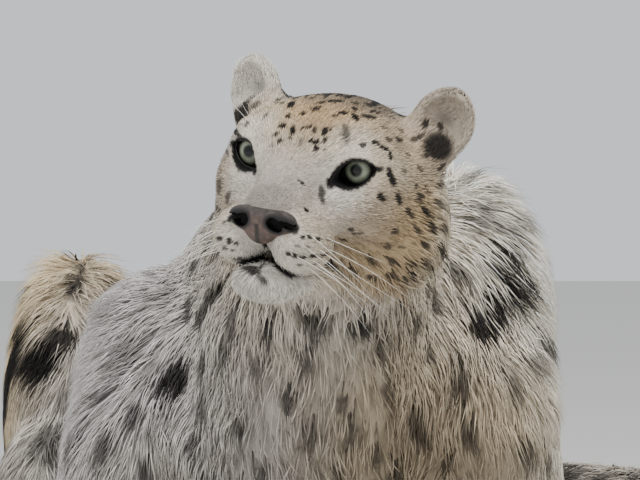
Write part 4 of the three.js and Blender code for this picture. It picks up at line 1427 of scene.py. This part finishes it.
# %% An unwrap of the skin, shared by the coat
ISLAND_MARGIN = 0.001
select_only(skin)
bpy.ops.object.mode_set(mode="EDIT")
bpy.ops.mesh.select_all(action="SELECT")
skin.data.uv_layers.new(name="OFBake")
bpy.ops.uv.smart_project(angle_limit=math.radians(70), island_margin=ISLAND_MARGIN)
bpy.ops.object.mode_set(mode="OBJECT")
mesh = skin.data
corner_count = len(mesh.loops)
skin_uv = np.zeros(corner_count * 2, np.float32)
mesh.uv_layers["OFBake"].uv.foreach_get("vector", skin_uv)
skin_uv = skin_uv.reshape(-1, 4, 2)
corners = np.zeros(corner_count, np.int32)
mesh.loops.foreach_get("vertex_index", corners)
corners = corners.reshape(-1, 4)
print("skin quads:", len(corners), "unwrap:", skin_uv.min().round(3), skin_uv.max().round(3))

# %% [markdown]
# ## Roots of the tufts
# Real fur has thousands of hairs to the square centimetre. A tuft stands for some dozens of them,
# so tufts are dense on the face, where hair is short and fine, and wide apart where it is long.
# A random choice of faces, weighted by their area, spreads them evenly. None grows on the nose,
# in the eye openings, under another limb or on the floor.

# %% Bare and hidden places
TUFT_BUDGET = 146000
BURIED = -1.5
CLEAR_BY = 4.0
UNDERSIDE_SHARE = 0.35
HAIR_STOPS = [3, 6, 12, 22, 40]
SPACING_STOPS = [0.9, 1.05, 1.5, 2.25, 3.0]


def quad_area(quads):
    one = np.cross(quads[:, 1] - quads[:, 0], quads[:, 2] - quads[:, 0])
    two = np.cross(quads[:, 2] - quads[:, 0], quads[:, 3] - quads[:, 0])
    return (np.linalg.norm(one, axis=1) + np.linalg.norm(two, axis=1)) / 2


quads = skin_points[corners]
middle = quads.mean(axis=1)
middle_normal = skin_normals[corners].mean(axis=1)
_, quad_hair, _ = coat_at(middle)
quad_local = to_head(middle)
clear = middle + middle_normal * CLEAR_BY
buried = np.minimum(head_field(to_head(clear)), field(BODY, clear)) < BURIED
buried |= tail_distance(clear.astype(np.float32)) < BURIED
on_floor = (middle[:, 2] < 4.5) & (middle_normal[:, 2] < -0.5)
bare = field(NOSE_MASSES, quad_local.astype(np.float32)) < 0.8
for side in (LEFT, RIGHT):
    opening = opening_distance(side, quad_local)
    socket = np.linalg.norm(quad_local - EYE_CENTRE * [side, 1, 1], axis=1) < LID_RADIUS - 0.9
    bare |= socket | ((opening < 1.3) & (quad_local[:, 1] < 10))
print("quads with no fur:", int((buried | on_floor | bare).sum()), "of", len(quads))

# %% Places of the roots
spacing = np.interp(quad_hair, HAIR_STOPS, SPACING_STOPS)
density = quad_area(quads) / spacing**2
density *= np.where(middle_normal[:, 2] < -0.4, UNDERSIDE_SHARE, 1)
density[buried | on_floor | bare] = 0
print("tufts wanted:", round(density.sum()), "budget:", TUFT_BUDGET)
scale = min(1.0, TUFT_BUDGET / density.sum())
chosen = rng.choice(len(quads), int(density.sum() * scale), p=density / density.sum())
along_quad = rng.random((len(chosen), 1))
across_quad = rng.random((len(chosen), 1))


def inside_quads(values):
    """Values of four corners blended to the random places of the roots."""
    near = values[:, 0] * (1 - along_quad) + values[:, 1] * along_quad
    far = values[:, 3] * (1 - along_quad) + values[:, 2] * along_quad
    return near * (1 - across_quad) + far * across_quad


def unit(vectors):
    return vectors / (np.linalg.norm(vectors, axis=1)[:, None] + 1e-9)


roots = inside_quads(quads[chosen])
root_normals = unit(inside_quads(skin_normals[corners][chosen]))
root_uv = inside_quads(skin_uv[chosen])
root_spacing = spacing[chosen] / math.sqrt(scale)
print("tufts:", len(roots))

# %% [markdown]
# ## Combing
# Each tuft starts along the lie of the coat, swirls a little with its neighbours and hangs where
# it is long. It is lifted only as far as the depth of the coat allows. Then long tufts lean
# towards the nearest leader, which makes locks with partings between them. A particle system's
# clumping does the same for hair curves, but can't be handled as a mesh.

# %% Direction and length of each tuft
LIFT_SHARE = 0.55
LEAST_LIFT = 0.1
MOST_LIFT = 0.28
HANG_ABOVE = 60
SWIRL_SIZE = 16
lie, hair, depth = coat_at(roots)
local = to_head(roots)
swirl = np.stack([noise(roots, SWIRL_SIZE, s) for s in (1.0, 7.0, 13.0)], axis=1) - 0.5
loose = smooth_step(6, 30, hair)[:, None]
strays = rng.normal(0, 1, lie.shape) * (0.10 + 0.08 * loose)
lie = unit(lie) + swirl * (0.25 + 0.75 * loose) + strays
facing_lie = np.abs((unit(lie) * root_normals).sum(axis=1))
lie[:, 2] -= (0.12 + 1.1 * facing_lie**2) * loose[:, 0] * (roots[:, 2] > HANG_ABOVE)
lie = unit(lie - root_normals * (lie * root_normals).sum(axis=1)[:, None])
for side in (LEFT, RIGHT):
    hair = hair * (0.4 + 0.6 * smooth_step(1, 16, opening_distance(side, local)))
hair = hair * rng.uniform(0.7, 1.15, len(hair))
lift = np.clip(LIFT_SHARE * depth / hair, LEAST_LIFT, MOST_LIFT)[:, None]
ahead = unit(lie * np.sqrt(1 - lift**2) + root_normals * lift)
tips = roots + ahead * hair[:, None] * 0.96 - root_normals * (0.10 * hair)[:, None]
print("mean hair, mm:", hair.mean().round(1), "mean lift:", lift.mean().round(2))

# %% Locks
LOCK_PULL = 0.2
MOST_LEAN = 0.22
TIP_ABOVE_FLOOR = 1.2
lock_size = np.interp(hair, [4, 12, 40], [2.2, 4.5, 10.0])
leaders = rng.random(len(roots)) < (root_spacing / lock_size) ** 2
leader_rows = np.flatnonzero(leaders)
tree = KDTree(len(leader_rows))
for number, row in enumerate(leader_rows):
    tree.insert(roots[row], number)
tree.balance()
follow = leader_rows[[tree.find(place)[1] for place in roots]]
same_way = ((ahead[follow] * ahead).sum(axis=1) > 0.5)[:, None]
pull = np.where(same_way, LOCK_PULL * smooth_step(3, 16, hair)[:, None], 0)
lead_tips = roots[follow] + (tips[follow] - roots[follow]) * (hair / hair[follow])[:, None]
lean = (lead_tips - tips) * pull
lean *= np.minimum(1, MOST_LEAN * hair / (np.linalg.norm(lean, axis=1) + 1e-6))[:, None]
tips = tips + lean
tips[:, 2] = np.maximum(tips[:, 2], TIP_ABOVE_FLOOR)
print("locks:", len(leader_rows))

# %% [markdown]
# ## Shape of a tuft
# A tuft is a three-sided blade with a bend at its middle and a point at its end: seven points and
# seven faces. So many are needed that a rounder one would make the coat too heavy. Its root is
# painted a little darker and its tip a little paler, and it takes the colour of the pelt at its
# middle, so a mark's edge breaks up along the hairs.

# %% Size, colour and points of the tufts
COLOUR_AT = 0.55  # the share of its length at which a tuft looks up its colour
SHADE_SPREAD = 0.075
FLATNESS = 0.55
ROOT_SUNK_BY = 0.7
MIDDLE_WIDTH = 0.8
MIDDLE_BEND = 0.09
LOWEST = 0.0006
base_rgb = pelt(roots + (tips - roots) * COLOUR_AT)
base_rgb = base_rgb * (1 + rng.normal(0, SHADE_SPREAD, (len(roots), 1)))
width = root_spacing * np.interp(hair, [4, 12, 40], [0.6, 0.5, 0.36])
width = width * rng.uniform(0.75, 1.2, len(roots))
aside = unit(np.cross(ahead, root_normals))
upward = unit(np.cross(aside, ahead))
half = width[:, None] / 2
thick = half * FLATNESS
start = roots - root_normals * ROOT_SUNK_BY
bend = root_normals * (MIDDLE_BEND * hair)[:, None]
middle_at = start + (tips - start) * 0.5 + bend
RING = [(-1.0, -0.35), (1.0, -0.35), (0.0, 1.0)]
rows = [start + aside * half * a + upward * thick * b for a, b in RING]
for a, b in RING:
    rows.append(middle_at + aside * half * MIDDLE_WIDTH * a + upward * thick * MIDDLE_WIDTH * b)
rows.append(tips)
tuft_points = to_metres(np.stack(rows, axis=1))
tuft_points[:, :, 2] = np.maximum(tuft_points[:, :, 2], LOWEST)
print("tuft width, mm:", width.mean().round(2))

# %% Faces, shades and unwrap of one tuft
# The root of each tuft is painted a little darker and its tip a little paler.
ROOT_SHADE = 0.96
TIP_SHADE = 1.08
TUFT_POINTS = 7
tuft_shades = np.array([ROOT_SHADE] * 3 + [1.0] * 3 + [TIP_SHADE])
TUFT_FACES = [(0, 1, 4, 3), (1, 2, 5, 4), (2, 0, 3, 5), (3, 4, 6), (4, 5, 6), (5, 3, 6), (0, 2, 1)]
tuft_loops = np.concatenate([np.array(face) for face in TUFT_FACES])
tuft_sizes = np.array([len(face) for face in TUFT_FACES])
PATCH_SIZE = 0.0015
UNWRAP_EDGE = 0.0005
angles = np.radians([90, 210, 330])
outer_patch = np.stack([np.cos(angles), np.sin(angles)], axis=1) * PATCH_SIZE
patch = np.vstack([outer_patch, outer_patch * 0.5, [[0, 0]]])[tuft_loops]
print("faces of a tuft:", len(TUFT_FACES))


# %% One piece of coat
def coat_piece(name, rows):
    """One joined mesh of tufts, with its colours and its patches on the skin's unwrap."""
    count = len(rows)
    mesh = bpy.data.meshes.new(name)
    mesh.vertices.add(count * TUFT_POINTS)
    mesh.vertices.foreach_set("co", tuft_points[rows].astype(np.float32).ravel())
    loops = (tuft_loops[None] + np.arange(count)[:, None] * TUFT_POINTS).ravel()
    mesh.loops.add(len(loops))
    mesh.loops.foreach_set("vertex_index", loops.astype(np.int32))
    sizes = np.tile(tuft_sizes, count)
    mesh.polygons.add(len(sizes))
    starts = np.concatenate([[0], np.cumsum(sizes)[:-1]])
    mesh.polygons.foreach_set("loop_start", starts.astype(np.int32))
    mesh.update(calc_edges=True)
    layer = mesh.uv_layers.new(name="OFBake")
    places = np.clip(root_uv[rows][:, None] + patch[None], UNWRAP_EDGE, 1 - UNWRAP_EDGE)
    layer.uv.foreach_set("vector", places.astype(np.float32).ravel())
    mesh.materials.append(guard_hair)
    mesh.shade_smooth()
    piece = bpy.data.objects.new(name, mesh)
    bpy.context.scene.collection.objects.link(piece)
    paint(piece, (base_rgb[rows][:, None] * tuft_shades[None, :, None]).reshape(-1, 3))
    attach(piece, "root")


# %% [markdown]
# ## The coat in pieces
# The tufts are joined into a few pieces by the part of the body they grow on, so that each stays
# small enough to handle. Each takes what the ones before it left over, front to back.

# %% Coat pieces
PIECE_TUFTS = 18500
in_height = (local[:, 2] > -100) & (local[:, 2] < 60)
regions = {
    "face": (local[:, 1] < 24) & (np.abs(local[:, 0]) < 75) & in_height,
    "head": (local[:, 1] < 84) & (np.abs(local[:, 0]) < 100) & (np.abs(local[:, 2]) < 110),
    "tail": (tail_distance(roots.astype(np.float32)) < 5) & (roots[:, 1] > 700),
    "forelegs": roots[:, 1] < 90,
    "neck": roots[:, 1] < 200,
    "chest": roots[:, 1] < 420,
    "belly": roots[:, 1] < 600,
    "hips": roots[:, 1] < 2000,
}
left_over = np.ones(len(roots), bool)
for name, where in regions.items():
    rows = np.flatnonzero(where & left_over)
    left_over[rows] = False
    rows = rows[np.argsort(roots[rows, 0])]
    pieces = max(1, math.ceil(len(rows) / PIECE_TUFTS))
    for number, part in enumerate(np.array_split(rows, pieces), 1):
        coat_piece("coat_%s_%d" % (name, number), part)
    print(name, len(rows), "tufts in", pieces, "pieces")

# %% [markdown]
# ## Stage
# A pale floor and soft, cloudy daylight show the fur without hard shadows. The large lights are
# kept out of glossy reflections, because they would turn the black pupils grey. One small light
# stays in them and gives each eye its spark.

# %% Floor and light
FLOOR_SIZE = 14
bpy.ops.object.select_all(action="DESELECT")
bpy.ops.mesh.primitive_plane_add(size=FLOOR_SIZE, location=(0, 0, 0))
floor = bpy.context.object
floor.name = "floor"
floor.data.materials.append(make_material("pale_floor", "#CFCDC9", Roughness=0.7))


def soft_light(name, place, size, power, aim=(0, -0.3, 0.25), shines=False):
    """A square lamp that faces the head."""
    data = bpy.data.lights.new(name, "AREA")
    data.size = size
    data.energy = power
    lamp = bpy.data.objects.new(name, data)
    bpy.context.scene.collection.objects.link(lamp)
    lamp.location = place
    lamp.rotation_euler = (Vector(aim) - Vector(place)).to_track_quat("-Z", "Y").to_euler()
    lamp.visible_glossy = shines


soft_light("sky_light", (0.6, -1.6, 3.2), 3.0, 150)
soft_light("side_light", (-3.0, -2.4, 1.6), 2.0, 55)
soft_light("window_light", (-0.9, -3.4, 2.6), 0.45, 7, shines=True)
world = bpy.data.worlds.new("studio")
world.use_nodes = True
sky = world.node_tree.nodes["Background"]
sky.inputs["Color"].default_value = (0.8, 0.83, 0.86, 1)
sky.inputs["Strength"].default_value = 1.0
bpy.context.scene.world = world
print("lights:", len(bpy.data.lights))

# %% [markdown]
# ## Finish
# The skin stands for all of the solids of flesh, so they are hidden. The whole figure is one
# body, because a lying animal shown as a still model has no joint.

# %% Finish
FLESH = ["head", "muzzle", "lower_jaw", "ear_left", "ear_right", "neck", "chest", "belly", "hips"]
for piece_name in ("upper_arm", "forearm", "forepaw", "thigh", "hind_foot", "hind_paw"):
    FLESH += [piece_name + "_left", piece_name + "_right"]
FLESH += ["tail_%d" % number for number in range(1, 6)]
print("solids that the skin stands for:", len(FLESH))
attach(skin, "root")
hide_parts(*FLESH)
